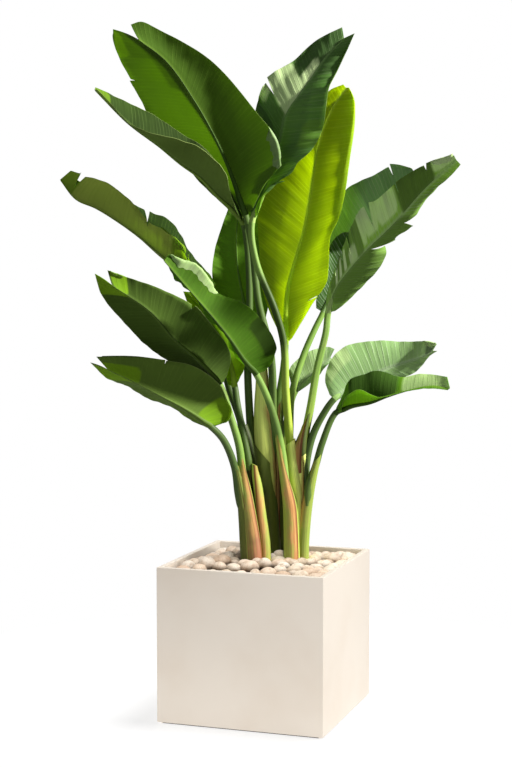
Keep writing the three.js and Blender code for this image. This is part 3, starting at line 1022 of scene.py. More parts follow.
@dataclass(frozen=True)
class PebbleBed:
    """Round stones in two layers on the soil, heaped a little towards the stems.

    Attributes:
        size: A stone's half length, half width and half height, in millimetres.
        spread: The share by which one may be larger or smaller.
        pitch: Between stones of a row when they are laid.
        wall_height: The top layer's bed at the planter's walls, above the ground.
        stem_height: Its bed at the stems.
        sink: How far below its bed a stone's middle lies.
        drop: How far the lower layer lies below the top one.
        jitter: How far a stone may lie from its place, across and up.
        painted_shade_height: Above the bed, where the painted shade between the stones starts.
        painted_shade_depth: How far below that it is full.
    """

    size: Point = (19.0, 16.5, 14.5)
    spread: float = 0.2
    pitch: float = 41.0
    wall_height: float = 344.0
    stem_height: float = 361.0
    sink: float = 2.0
    drop: float = 15.0
    jitter: tuple[float, float] = (7.0, 6.0)
    painted_shade_height: float = 6.0
    painted_shade_depth: float = 13.0

    ROW = 0.87  # between rows, over the pitch
    FIRST_ROW = 12.0  # from the planter's wall to the first row, in millimetres

    def add(self, stems: Array) -> None:
        """Lays the stones.

        Args:
            stems: The place and radius of each stem at the bed, in millimetres in the frame.
        """
        rng = np.random.default_rng(23)
        low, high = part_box("pebbles")
        half = (high.x - low.x) / 2 / MM
        ball = self._ball()
        stones = []
        for layer in range(2):
            for x, y, scale in self._laid(rng, half, stems, layer):
                height = self._bed(x, y, half) - self.sink - (self.drop if layer == 0 else 0.0)
                height += rng.uniform(-self.jitter[1], self.jitter[1])
                stone = self._stone(rng, ball, np.array([x, y, height]), scale)
                # Painted shade between the stones: each stone darker lower down.
                below = self._bed(x, y, half) + self.painted_shade_height - stone.points[:, 2] / MM
                stone.values["deep"] = np.clip(below / self.painted_shade_depth, 0, 1)
                stones.append(stone)
        piece = build("pebble_bed", joined(stones), [StoneFinish().material("pebbles")])
        install(piece, "pebbles", "pebble")

    def _bed(self, x: float, y: float, half: float) -> float:
        """The bed's height at a place, all in millimetres.

        Args:
            x: The place to the right of the planter's middle.
            y: The place behind it.
            half: Half the bed's width.

        Returns:
            Its height above the ground.
        """
        share = min(max(abs(x), abs(y)) / half, 1.0)
        return self.wall_height + (self.stem_height - self.wall_height) * float(smooth(share, 1.0, 0.3))

    def _laid(self, rng: np.random.Generator, half: float, stems: Array, layer: int) -> Array:
        """Places of one layer's stones, pushed apart until they hardly touch.

        Args:
            rng: The source of chance.
            half: Half the bed's width.
            stems: Place and radius of each stem.
            layer: 0 for the lower layer.

        Returns:
            One row of x, y and size for each stone.
        """
        between = self.pitch * self.ROW
        jitter = self.jitter[0]
        rows = int(2 * half / between) + 1
        found = []
        for row in range(rows):
            for column in range(int(2 * half / self.pitch) + 2):
                x = (column + 0.5 * ((row + layer) % 2)) * self.pitch - half
                y = row * self.pitch * self.ROW - half + self.FIRST_ROW
                found.append([x + rng.uniform(-jitter, jitter), y + rng.uniform(-jitter, jitter)])
        places = np.array(found)
        sizes = 1 + self.spread * (2 * rng.random(len(places)) - 1)
        reach = (self.size[0] + self.size[1]) / 2 * sizes
        for _ in range(60):
            gap = places[:, None] - places[None]
            apart = np.linalg.norm(gap, axis=2) + np.eye(len(places)) * 1e3
            press = np.clip((reach[:, None] + reach[None]) * 0.97 - apart, 0, None)
            places = places + 0.25 * (gap / apart[..., None] * press[..., None]).sum(1)
            for x, y, radius in stems:
                away = places - np.array([x, y])
                far = np.linalg.norm(away, axis=1)
                press_in = np.clip(radius + reach * 0.8 - far, 0, None)
                places = places + away / np.maximum(far, 1)[:, None] * press_in[:, None]
            places = np.clip(places, -half + reach[:, None], half - reach[:, None])
        return np.column_stack([places, sizes])

    def _ball(self) -> Skin:
        """A round stone of radius 1, in even faces.

        Returns:
            Its skin.
        """
        bm = bmesh.new()
        bmesh.ops.create_icosphere(bm, subdivisions=3, radius=1.0)
        points = np.array([vert.co[:] for vert in bm.verts])
        faces = [tuple(vert.index for vert in face.verts) for face in bm.faces]
        bm.free()
        return Skin(points, faces, {}, [0] * len(faces))

    def _stone(self, rng: np.random.Generator, ball: Skin, place: Array, scale: float) -> Skin:
        """One stone.

        Args:
            rng: The source of chance.
            ball: The round stone that it is shaped from.
            place: Its middle, in millimetres.
            scale: Its size against the usual one.

        Returns:
            Its skin, in metres.
        """
        waves = rng.uniform(-1.6, 1.6, (3, 3))
        lumps = 1 + 0.055 * np.sin(ball.points @ waves + rng.uniform(0, 6, 3)).sum(1)
        size = np.array(self.size) * scale * rng.uniform(0.9, 1.1, 3)
        turn, tilt, roll = rng.uniform(0, math.tau), rng.uniform(-0.35, 0.35), rng.uniform(-0.35, 0.35)
        spin = turned(2, turn) @ turned(1, tilt) @ turned(0, roll)
        points = (ball.points * lumps[:, None] * size) @ spin.T + place
        tints = {"tint": np.full(len(points), rng.random())}
        return Skin(points * MM, ball.faces, tints, ball.slots)


# --- Shoots -----------------------------------------------------------------------------------------


@dataclass(frozen=True)
class Sheath:
    """A sheath that wraps the foot of a stalk, with a slanting free margin.

    Attributes:
        stations: Its middle and radius going up: across, depth, up, radius.
        seam: The margin's direction at its foot and its top, in degrees from the fan's right, turning back.
        warm: How strongly it is blushed.
        old: How dark it is: partly an aged sheath's own darker green, partly painted shade.
        fresh: How bright it is: partly a young sheath's own paler green, partly painted light.
        brown: How brown its foot is.
        spread: How far the blush reaches from the margin, in millimetres.
        slant: How much higher its mouth is on one side than the other, and that side's direction.
        hand: 1 if the blush lies clockwise of the margin, as seen from above, -1 if not.
        step: How far the margin stands proud, in millimetres.
    """

    stations: tuple[tuple[float, float, float, float], ...]
    seam: tuple[float, float]
    warm: float = 1.0
    old: float = 0.0
    fresh: float = 0.0
    brown: float = 0.25
    spread: float = 8.0
    slant: tuple[float, float] = (24.0, 180.0)
    hand: int = 1
    step: float = 2.4

    RINGS = 44
    SIDES = 40

    def skin(self) -> Skin:
        """Builds the sheath."""
        line = Curve([station[:3] for station in self.stations])
        ups = [station[2] for station in self.stations]
        radii = [station[3] for station in self.stations]
        shares = np.linspace(0, 1, self.RINGS)
        middles = line.at(shares)
        radius = np.interp(middles[:, 2], ups, radii)
        radius = np.convolve(np.pad(radius, 3, mode="edge"), np.ones(7) / 7, mode="valid")
        turn = np.linspace(0, 1, self.SIDES)
        seam = np.radians(np.interp(shares, [0, 1], self.seam))
        angle = seam[:, None] + self.hand * math.tau * turn[None] * 0.9999
        step = self.step * smooth(shares, 1.0, 0.85) + 0.3
        reach = radius[:, None] + step[:, None] * (turn[None] - 0.5)
        rings = np.stack(
            [
                middles[:, 0, None] + reach * np.cos(angle),
                middles[:, 1, None] + reach * np.sin(angle),
                repeated(middles[:, 2], self.SIDES),
            ],
            -1,
        )
        height, toward = self.slant
        lift = smooth(shares, 0.5, 1.0)[:, None] * np.cos(angle - math.radians(toward))
        rings[..., 2] += height / 2 * lift
        before_margin = reach * math.tau * (1 - turn)[None]
        values = {
            "along": repeated(shares * line.length * MM, self.SIDES),
            "around": np.repeat(turn[None], self.RINGS, 0),
            "rise": repeated(shares, self.SIDES),
            "margin": np.exp(-before_margin / self.spread),
        }
        for name in ("warm", "old", "fresh", "brown"):
            values[name] = np.full(reach.shape, getattr(self, name))
        if self.hand < 0:
            rings = rings[:, ::-1]
            values = {name: value[:, ::-1] for name, value in values.items()}
        return tube(rings, values)


@dataclass(frozen=True)
class Shoot:
    """Sheaths wrapped together.

    Attributes:
        node: The frame's node that they stand for.
        sheaths: From left to right.
    """

    node: str
    sheaths: tuple[Sheath, ...]

    def add(self, material: bpy.types.Material) -> None:
        """Builds the sheaths as one piece."""
        skin = joined([sheath.skin() for sheath in self.sheaths])
        skin.points = placed(skin.points)
        install(build(f"{self.node}_sheaths", skin, [material], 35), self.node, "sheath")

    def feet(self) -> Array:
        """The place and radius of each sheath where it stands, in millimetres in the frame."""
        found = []
        for sheath in self.sheaths:
            across, depth, up, radius = sheath.stations[1]
            x, y, _ = placed(np.array([[across, depth, up]]))[0] / MM
            found.append([x, y, radius])
        return np.array(found)


SHOOTS = (
    Shoot(
        "shoot_left",
        (
            Sheath(
                (
                    (-46, -12, 260, 14), (-47, -13, 395, 14), (-53, -17, 470, 13.4), (-63, -26, 530, 12.4),
                    (-73, -37, 584, 11.2),
                ),
                (-90, -60), warm=0.1, old=0.7,
            ),
            Sheath(
                (
                    (-24, 10, 260, 15), (-26, 11, 380, 15), (-31, 13, 480, 14.5), (-38, 15, 580, 13.5),
                    (-45, 19, 640, 11.8), (-56, 23, 676, 10.8),
                ),
                (-90, -90), warm=0.4, old=1.0, slant=(10.0, 0.0),
            ),
            Sheath(
                (
                    (-44, -3, 260, 17), (-44, -3, 354, 17), (-47, -4, 395, 16.5), (-51, -6, 455, 15.3),
                    (-58, -10, 520, 14), (-68, -24, 562, 12.2), (-76, -38, 598, 11),
                ),
                (-60, -20), warm=0.15, old=0.6,
            ),
            Sheath(
                (
                    (-29, -16, 260, 21), (-29, -16, 357, 20.6), (-32, -17, 407, 19.6),
                    (-41, -18, 474, 17.2), (-50, -18, 540, 15.8), (-60, -22, 604, 12.2),
                    (-69, -29, 655, 10.6),
                ),
                (-20, -50), warm=1.2, old=0.1, brown=0.95, spread=19.0, slant=(70.0, 180.0),
            ),
            Sheath(
                (
                    (-3, -8, 260, 14), (-3, -8, 355, 13.7), (-5, -9, 406, 13.2), (-14, -10, 473, 12.8),
                    (-22, -11, 539, 11.8), (-26, -12, 566, 10.2), (-28, -13, 580, 8.2),
                    (-29, -14, 588, 4.5),
                ),
                (-165, -110), warm=1.3, old=0.15, spread=17.0, slant=(6.0, 180.0), hand=-1,
            ),
        ),
    ),
    Shoot(
        "shoot_right",
        (
            Sheath(
                (
                    (59, -8, 260, 19), (59, -8, 365, 18.4), (58, -9, 432, 17.9), (55, -10, 494, 17.2),
                    (47, -11, 542, 15.6), (35, -14, 600, 12), (26, -19, 655, 10.4),
                ),
                (-25, -50), warm=1.3, spread=19.0, slant=(70.0, 180.0),
            ),
            Sheath(
                (
                    (72, 8, 260, 14.6), (72, 8, 362, 14.6), (72, 8, 453, 14.6), (71, 8, 525, 13.7),
                    (63, 10, 585, 12), (57, 14, 640, 11),
                ),
                (-10, -20), warm=0.7, fresh=1.0, slant=(16.0, 0.0),
            ),
            Sheath(
                (
                    (82, 15, 260, 15.2), (82, 15, 361, 15.2), (82, 15, 452, 15.3), (80, 16, 512, 15.8),
                    (79, 16, 572, 16), (79, 16, 603, 15.6),
                ),
                (-62, -58), warm=0.9, fresh=1.0, spread=7.0, slant=(18.0, 0.0),
            ),
            Sheath(
                (
                    (79, 15, 500, 13.6), (79, 15, 560, 14.4), (79, 15, 605, 15.4), (82, 17, 641, 15.6),
                    (88, 21, 667, 13.6), (95, 26, 694, 11),
                ),
                (-75, -80), warm=1.3, old=0.9, spread=24.0, slant=(40.0, 0.0),
            ),
            Sheath(
                (
                    (87, 6, 260, 13.4), (87, 6, 362, 13.3), (88, 5, 403, 13.5), (93, 2, 466, 13.5),
                    (100, -3, 514, 12.6), (109, -8, 559, 12), (121, -14, 606, 11.2),
                ),
                (-160, -170), old=0.35, spread=11.0, slant=(26.0, 0.0), hand=-1,
            ),
            Sheath(
                (
                    (58, 30, 260, 15), (58, 31, 354, 15), (56, 37, 446, 14), (54, 43, 520, 13),
                    (53.5, 46, 570, 12.2), (53.5, 46.5, 624, 10.8),
                ),
                (100, 80), warm=0.4, old=0.8, slant=(14.0, 0.0),
            ),
        ),
    ),
    Shoot(
        "shoot_centre",
        (
            Sheath(
                (
                    (3, 52, 470, 24), (-1, 52, 567, 26), (-5, 51, 635, 26), (-8, 49, 676, 22.7),
                    (-10, 49, 724, 18.9), (-9, 54, 772, 16.8), (-10, 62, 815, 14.4), (-10, 70, 858, 11),
                ),
                (-20, -45), warm=0.9, fresh=1.0, spread=9.0,
            ),
            Sheath(
                (
                    (7, 52, 260, 31), (6, 52, 354, 30.7), (1, 52, 446, 29.9), (-4, 52, 543, 28.8),
                    (-6, 51, 604, 28),
                ),
                (30, 60), warm=0.5, old=0.6, slant=(66.0, 180.0),
            ),
            Sheath(
                (
                    (28, 60, 260, 19), (28, 60, 353, 18.9), (27, 60, 494, 16.5), (28, 60, 603, 14.6),
                    (29, 57, 668, 12.4), (31, 52, 728, 10.8),
                ),
                (-70, -80), warm=0.9, old=0.7, spread=12.0, slant=(36.0, 0.0),
            ),
            Sheath(
                (
                    (24, 66, 260, 15), (25, 67, 354, 14.8), (33, 74, 446, 13.4), (40, 80, 530, 12.4),
                    (43, 82.5, 600, 11.4), (43, 83.5, 646, 10.6),
                ),
                (100, 80), warm=0.5, old=0.6, slant=(16.0, 0.0),
            ),
        ),
    ),
)


# --- Leaves -----------------------------------------------------------------------------------------


class Side(Enum):
    """A half of a blade, as seen on its upper face with the tip away."""

    LEFT = 0
    RIGHT = 1


LEFT, RIGHT = Side


@dataclass(frozen=True)
class Tear:
    """A tear along the side veins, in from the margin.

    Attributes:
        side: The torn half.
        at: Where, as a share of the half's length.
        deep: How far in, as a share of its width.
        gap: How far it opens at the margin, in millimetres.
    """

    side: Side
    at: float
    deep: float
    gap: float = 6.0


class Tone(Enum):
    """What a painted patch of a blade may be, each the name of its value on the mesh."""

    # SHADE is painted shadow, SILVER painted sheen, LIME painted sunlit glow.
    SHADE = "shade"
    SILVER = "silver"
    LIME = "lime"


SHADE, SILVER, LIME = Tone


@dataclass(frozen=True)
class Mark:
    """A painted patch of light or shade on a blade.

    Attributes:
        tone: The painted light or shade that it is.
        side: The half that it is on.
        at: Its middle, as a share of the half's length.
        part: Its middle, as a share of the half's width.
        length: Half its length, as a share of the half's.
        width: Half its width, as a share of the half's.
        strength: How strong it is.
    """

    tone: Tone
    side: Side
    at: float
    part: float
    length: float
    width: float
    strength: float = 0.8

    def cover(self, shares: Array, parts: Array) -> Array:
        """How strong it is at these shares of the half's length and width."""
        far = ((shares - self.at) / self.length) ** 4 + ((parts - self.part) / self.width) ** 4
        return self.strength * smooth(far, 1.3, 0.7)


@dataclass(frozen=True)
class Flap:
    """A stretch of margin that is folded over onto the blade, so that its other face shows.

    Attributes:
        tone: The painted light or shade on it.
        side: The half that it is on.
        start: Where it starts, as a share of the half's length.
        end: Where it ends.
        width: How far it reaches in from the margin, in millimetres.
        bulge: How far it stands up.
        over: The face that it lies on: 1 for the upper face, -1 for the underside.
        strength: How strong that painted tone is.
    """

    tone: Tone
    side: Side
    start: float
    end: float
    width: float
    bulge: float
    over: int
    strength: float = 0.9


@dataclass(frozen=True)
class Roll:
    """A stretch of margin that curls over.

    Attributes:
        side: The half.
        start: Where it starts, as a share of the half's length.
        end: Where it ends.
        radius: The curl's radius in millimetres.
        turn: How far it curls, in degrees. Below 0 it curls down.
    """

    side: Side
    start: float
    end: float
    radius: float
    turn: float


class Finish(Enum):
    """The leaves' finishes, dark to bright: each leaf's colours are partly its own, partly painted light and
    shade.
    """

    LIME = LeafFinish(0x3A6418, 0x4C6E16, 0xA0C410, 0.36, 0.42, 0.7, 0x7E9C3C, 0x35501A)
    FOLDED = LeafFinish(0x273B0E, 0x556A2F, 0x8EA414, 0.16, 0.7, 0.3, 0x708A4A, shine=0.08)
    GREY = LeafFinish(0x16280E, 0xC6DE60, 0xAAC828, 0.55, 0.7, 0.45, 0x7A9450, 0x4E6430, 0.12)
    FRESH = LeafFinish(0x507E1D, 0x486E12, 0xA2CC0C, 0.45, 0.5, 0.6, 0x84A63C, 0x2C4210, 0.15)
    DARK = LeafFinish(0x2E4A18, 0x3E5616, 0x869E10, 0.2, 0.5, 0.6, 0x708C40, 0x3A5014)
    WORN = LeafFinish(0x36501A, 0x5A752A, 0x98B010, 0.26, 0.5, 0.6, 0x7E9848, 0x4A6020)
    DEEP = LeafFinish(0x53852E, 0x40601C, 0x9CC018, 0.36, 0.42, 0.6, 0xA0C080, 0x96B060)
    HIDDEN = LeafFinish(0x3C6420, 0x5A8A1E, 0xA4CC0C, 0.45, 0.5, 0.7, 0x7E9C3C, 0x46641C, 0.15)
    YOUNG = LeafFinish(0x5C8A14, 0x84B41C, 0xC0E010, 0.7, 0.5, 0.7, 0x5C8410, 0x7E9C28, 0.15)
    BRIGHT = LeafFinish(0x8CAE18, 0xA0C418, 0xE6FA16, 0.6, 0.5, 1.7, 0xECFA80, 0xD2EA50, 0.15, 0.65)
    BLUE = LeafFinish(0x9ED28C, 0x2D4C19, 0x94B830, 0.42, 0.42, 1.5, 0xE2F2D6, 0x8CA870, 0.15)
    PALE = LeafFinish(0x94C652, 0x5C7E30, 0xA0C028, 0.34, 0.42, 0.9, 0xD0E6B4, 0x9DB870, 0.15)
    SILVER = LeafFinish(0xA0C884, 0x6C8E3C, 0xB0CC50, 0.4, 0.28, 0.6, 0xE8F6DC, 0x7C9A5C, 0.4)


@dataclass(frozen=True)
class LeafShape:
    """One leaf's lines in the plant's millimetres, and what has happened to its blade.

    Attributes:
        finish: Its finish.
        stalk: From its sheath to the blade.
        rib: The midrib, from there to the tip.
        left: The left margin, from base to tip.
        right: The right margin.
        tears: Its tears.
        rolls: Its curled margins.
        marks: Patches of painted shade, sheen and sunlit glow.
        flaps: Torn or folded pieces on it.
        ruffle: How strong its waves are against the usual ones.
        ripe: How yellow its stalk's foot is.
        stalk_painted_shade: How much painted shade darkens the stalk's upper half, short of the blade.
        old: How dark its stalk is: partly its own darker green, partly painted shade.
    """

    finish: Finish
    stalk: Points
    rib: Points
    left: Points
    right: Points
    tears: tuple[Tear, ...] = ()
    rolls: tuple[Roll, ...] = ()
    marks: tuple[Mark, ...] = ()
    flaps: tuple[Flap, ...] = ()
    ruffle: float = 1.0
    ripe: float = 0.0
    stalk_painted_shade: float = 0.0
    old: float = 0.0


# Marks and flaps paint light: SHADE is painted shadow, SILVER painted sheen, LIME painted glow.
LEAVES: dict[str, LeafShape] = {
    "top_left": LeafShape(
        Finish.LIME,
        ((15, 45, 570), (15, 40, 705), (10, 30, 845), (-20, 20, 975), (-35, 15, 1105)),
        (
            (-50, 0, 1175), (-85, -50, 1275), (-120, -85, 1350), (-160, -110, 1420), (-225, -140, 1510),
            (-285, -160, 1555),
        ),
        (
            (-35, -10, 1185), (-5, -40, 1240), (30, -50, 1285), (25, -60, 1340), (-25, -85, 1405),
            (-125, -115, 1515), (-240, -140, 1580), (-280, -152, 1597), (-303, -158, 1590),
        ),
        (
            (-60, 15, 1185), (-105, 20, 1215), (-180, 10, 1285), (-250, -10, 1365), (-290, -55, 1435),
            (-320, -85, 1490), (-345, -125, 1555), (-345, -145, 1580),
        ),
        tears=(Tear(RIGHT, 0.76, 0.12, 1.2),),
        rolls=(Roll(LEFT, 0.06, 0.24, 9, 150),),
        marks=(
            Mark(SHADE, RIGHT, 0.95, 0.4, 0.08, 0.5, 0.25), Mark(SHADE, RIGHT, 0.84, 0.12, 0.12, 0.22, 0.4),
            Mark(LIME, RIGHT, 0.93, 1.0, 0.06, 0.25, 0.5), Mark(SHADE, LEFT, 0.78, 0.3, 0.2, 0.4, 0.22),
            Mark(SHADE, LEFT, 0.62, 0.1, 0.3, 0.16, 0.25),
        ),
        flaps=(Flap(SILVER, LEFT, 0.17, 0.36, 20, 6, -1, 0.22),),
        ruffle=0.3, old=0.7,
    ),
    "left_folded": LeafShape(
        Finish.FOLDED,
        ((-30, 45, 570), (-40, 50, 700), (-45, 50, 830), (-40, 50, 965), (-45, 40, 1095)),
        (
            (-55, 20, 1155), (-80, -25, 1190), (-110, -65, 1215), (-150, -100, 1255), (-195, -125, 1285),
            (-240, -150, 1320), (-310, -180, 1370), (-380, -205, 1440),
        ),
        (
            (-60, 5, 1160), (-85, -95, 1225), (-95, -130, 1265), (-145, -170, 1315), (-190, -190, 1330),
            (-250, -200, 1345), (-305, -210, 1370), (-375, -210, 1440),
        ),
        (
            (-55, 15, 1165), (-80, -35, 1220), (-140, -95, 1320), (-195, -105, 1355), (-270, -125, 1400),
            (-335, -160, 1430), (-380, -200, 1445),
        ),
        marks=(Mark(LIME, RIGHT, 0.98, 0.4, 0.06, 0.6, 0.4), Mark(LIME, LEFT, 0.98, 0.4, 0.06, 0.6, 0.3)),
        ruffle=0.4, old=0.8,
    ),
    "left_high": LeafShape(
        Finish.GREY,
        ((-40, 15, 570), (-45, 20, 625), (-65, 25, 700), (-90, 40, 770), (-115, 50, 890)),
        (
            (-130, 60, 1000), (-180, 50, 1040), (-240, 40, 1075), (-300, 25, 1125), (-350, 10, 1160),
            (-400, -5, 1190), (-445, -15, 1210), (-480, -25, 1255),
        ),
        (
            (-135, 55, 1010), (-180, 40, 1065), (-200, 30, 1105), (-250, 10, 1145), (-280, 5, 1160),
            (-315, -10, 1200), (-365, -20, 1245), (-405, -30, 1260), (-455, -30, 1275),
        ),
        (
            (-125, 75, 1010), (-150, 105, 1055), (-185, 120, 1095), (-210, 120, 1130), (-235, 110, 1165),
            (-295, 100, 1195), (-360, 80, 1215), (-420, 45, 1240), (-475, -15, 1260),
        ),
        tears=(
            Tear(LEFT, 0.12, 0.6), Tear(LEFT, 0.22, 0.6, 9), Tear(LEFT, 0.5, 0.25, 9),
            Tear(LEFT, 0.93, 0.7, 14), Tear(RIGHT, 0.52, 0.45, 12),
        ),
        marks=(
            Mark(LIME, LEFT, 0.97, 0.5, 0.05, 0.8, 0.6), Mark(LIME, LEFT, 0.2, 0.6, 0.14, 0.5, 0.6),
            Mark(SHADE, LEFT, 0.56, 1.0, 0.08, 0.2, 0.5), Mark(SHADE, RIGHT, 0.5, 0.6, 0.4, 0.7, 0.6),
        ),
        flaps=(Flap(LIME, LEFT, 0.2, 0.42, 12, 5, 1),),
        ruffle=0.8, old=0.85,
    ),
    "front": LeafShape(
        Finish.FRESH,
        ((50, -5, 490), (45, -10, 540), (35, -15, 625), (10, -35, 725)),
        (
            (-25, -60, 805), (-55, -85, 845), (-85, -110, 890), (-120, -135, 935), (-175, -160, 1000),
            (-230, -180, 1065),
        ),
        (
            (-5, -55, 810), (10, -50, 830), (20, -55, 870), (5, -65, 910), (-25, -80, 945), (-65, -95, 975),
            (-115, -110, 1000), (-135, -125, 1025), (-170, -145, 1060), (-220, -170, 1080),
        ),
        (
            (-35, -50, 805), (-60, -50, 835), (-95, -70, 885), (-130, -100, 935), (-180, -135, 1000),
            (-235, -170, 1065),
        ),
        rolls=(Roll(LEFT, 0.5, 0.95, 6, 210),),
        marks=(Mark(SHADE, LEFT, 0.24, 0.85, 0.12, 0.3, 1),),
        flaps=(Flap(SILVER, LEFT, 0.58, 0.995, 22, 6, -1, 0.6),),
        stalk_painted_shade=0.5,
    ),
    "left_middle": LeafShape(
        Finish.DARK,
        ((-40, -10, 490), (-55, -20, 555), (-65, -30, 635), (-85, -35, 705)),
        ((-110, -45, 780), (-155, -70, 835), (-215, -95, 890), (-265, -115, 950), (-350, -140, 1010)),
        (
            (-100, -35, 785), (-90, -30, 810), (-85, -30, 845), (-95, -40, 875), (-130, -60, 920),
            (-170, -75, 965), (-235, -95, 1000), (-305, -120, 1025), (-360, -140, 1045),
        ),
        (
            (-125, -45, 780), (-155, -35, 785), (-190, -35, 810), (-240, -55, 840), (-290, -80, 885),
            (-340, -110, 940), (-375, -130, 990), (-390, -145, 1035),
        ),
        tears=(Tear(LEFT, 0.5, 0.1, 4),),
        marks=(
            Mark(LIME, RIGHT, 0.95, 0.6, 0.07, 0.9, 0.9), Mark(LIME, LEFT, 0.94, 0.6, 0.05, 0.6, 0.9),
            Mark(SHADE, LEFT, 0.72, 0.6, 0.2, 0.7, 0.3),
        ),
        flaps=(Flap(LIME, LEFT, 0.9, 0.99, 7, 3, -1),),
        ruffle=0.5,
    ),
    "left_inner": LeafShape(
        Finish.YOUNG,
        ((-40, -10, 575), (-50, -10, 630), (-60, -5, 680), (-70, 0, 735)),
        ((-75, 10, 770), (-95, -5, 860), (-135, -15, 930), (-185, -25, 995)),
        (
            (-65, 15, 785), (-55, 20, 820), (-65, 20, 870), (-100, 10, 930), (-140, -5, 970),
            (-175, -20, 995),
        ),
        (
            (-90, 10, 775), (-105, 5, 825), (-125, 0, 875), (-155, -10, 930), (-185, -20, 970),
            (-195, -25, 995),
        ),
        old=0.85,
    ),
    "left_low": LeafShape(
        Finish.WORN,
        ((-56, -17, 470), (-66, -27, 520), (-75, -40, 585), (-100, -60, 650)),
        ((-130, -80, 685), (-175, -95, 720), (-245, -115, 760), (-310, -135, 795), (-360, -150, 820)),
        (
            (-120, -70, 685), (-95, -60, 695), (-85, -55, 720), (-95, -60, 745), (-110, -65, 780),
            (-170, -85, 825), (-235, -110, 840), (-300, -135, 850), (-385, -160, 850),
        ),
        (
            (-140, -70, 680), (-175, -35, 695), (-215, -30, 720), (-270, -45, 745), (-320, -75, 775),
            (-365, -115, 800), (-400, -150, 835),
        ),
        tears=(Tear(LEFT, 0.62, 0.12, 4),),
        marks=(
            Mark(LIME, LEFT, 0.88, 0.3, 0.13, 0.3, 0.9), Mark(LIME, RIGHT, 0.88, 0.5, 0.1, 0.9, 0.9),
            Mark(LIME, LEFT, 0.14, 0.5, 0.09, 0.5, 0.9), Mark(LIME, LEFT, 0.06, 0.6, 0.07, 0.6, 0.9),
        ),
        ruffle=0.3, old=0.85,
    ),
    "top_right": LeafShape(
        Finish.DEEP,
        ((60, 20, 545), (55, 15, 640), (45, 10, 760), (40, 0, 875), (20, -10, 950), (-25, -20, 1065)),
        (
            (-35, -10, 1155), (0, 5, 1250), (30, 5, 1345), (45, 5, 1410), (75, 5, 1455), (100, 10, 1490),
            (135, 10, 1540), (180, 15, 1585),
        ),
        (
            (-35, 0, 1170), (-40, 15, 1255), (-35, 15, 1350), (-25, 10, 1425), (-5, 10, 1480),
            (15, 10, 1500), (60, 10, 1530), (110, 10, 1575), (175, 15, 1610),
        ),
        (
            (-20, -10, 1175), (5, -10, 1245), (50, -10, 1265), (75, -10, 1295), (105, -10, 1325),
            (130, -5, 1375), (145, 0, 1465), (165, 10, 1510), (205, 15, 1595),
        ),
        tears=(Tear(LEFT, 0.6, 0.4, 12), Tear(RIGHT, 0.22, 0.2, 5)),
        rolls=(Roll(LEFT, 0.5, 0.6, 7, 150),),
        marks=(
            Mark(SILVER, LEFT, 0.67, 0.45, 0.07, 0.6, 0.9), Mark(SILVER, LEFT, 0.76, 0.15, 0.1, 0.25),
            Mark(SILVER, LEFT, 0.6, 0.95, 0.07, 0.2), Mark(LIME, RIGHT, 0.5, 0.8, 0.07, 0.3, 0.3),
            Mark(SHADE, LEFT, 0.87, 0.6, 0.12, 0.7, 0.7), Mark(SHADE, LEFT, 0.42, 0.7, 0.09, 0.5, 0.6),
            Mark(SHADE, RIGHT, 0.5, 0.25, 0.2, 0.3, 0.45), Mark(SHADE, RIGHT, 0.9, 0.6, 0.1, 0.5, 0.45),
            Mark(LIME, RIGHT, 0.06, 0.6, 0.06, 0.6, 0.9),
        ),
        ripe=0.9, stalk_painted_shade=0.9,
    ),
    "centre": LeafShape(
        Finish.BRIGHT,
        ((30, 55, 565), (30, 55, 625), (30, 50, 735), (40, 40, 810)),
        (
            (45, 30, 870), (50, 40, 995), (70, 40, 1075), (85, 45, 1125), (100, 50, 1205), (110, 50, 1275),
            (120, 45, 1340), (150, 45, 1420), (186, 38, 1474),
        ),
        (
            (60, 25, 885), (110, 25, 965), (140, 20, 1015), (145, 20, 1060), (150, 25, 1125),
            (170, 30, 1170), (185, 35, 1235), (195, 40, 1300), (206, 40, 1375), (208, 40, 1415),
            (206, 40, 1448), (194, 38, 1474),
        ),
        (
            (35, 35, 885), (10, 45, 940), (-12, 55, 1010), (-18, 60, 1095), (-20, 65, 1175), (2, 65, 1235),
            (50, 60, 1305), (85, 55, 1375), (122, 50, 1440), (150, 47, 1470), (180, 40, 1482),
        ),
        tears=(Tear(LEFT, 0.19, 0.35),),
        marks=(
            Mark(LIME, LEFT, 0.6, 0.6, 0.4, 0.6, 0.3), Mark(SHADE, RIGHT, 0.3, 0.8, 0.3, 0.35, 0.3),
            Mark(SHADE, LEFT, 0.97, 0.5, 0.02, 0.5, 0.35), Mark(SHADE, RIGHT, 0.95, 0.3, 0.02, 0.4, 0.35),
        ),
        ruffle=0.4,
    ),
    "back_left": LeafShape(
        Finish.HIDDEN,
        ((-5, 70, 565), (-5, 70, 640), (-10, 75, 770)),
        ((-30, 85, 855), (-50, 100, 950), (-70, 115, 1060), (-70, 125, 1165), (-55, 130, 1265)),
        ((-15, 85, 865), (5, 95, 975), (0, 110, 1080), (-10, 120, 1180), (-45, 130, 1260)),
        (
            (-45, 90, 860), (-105, 100, 940), (-130, 110, 1020), (-125, 120, 1095), (-105, 125, 1160),
            (-65, 130, 1260),
        ),
        old=0.6,
    ),
    "right_torn": LeafShape(
        Finish.PALE,
        ((85, 35, 560), (90, 30, 640), (105, 25, 725), (120, 20, 815), (140, 15, 900)),
        (
            (145, 15, 945), (160, -5, 1000), (195, -20, 1050), (230, -35, 1090), (295, -60, 1155),
            (360, -80, 1230), (430, -100, 1295),
        ),
        (
            (140, 10, 960), (145, -5, 1000), (160, -20, 1050), (195, -40, 1145), (220, -50, 1190),
            (250, -55, 1205), (285, -60, 1235), (315, -70, 1260), (380, -90, 1295), (425, -100, 1305),
        ),
        (
            (160, 15, 950), (200, 10, 980), (250, 0, 1030), (285, -15, 1080), (295, -30, 1115),
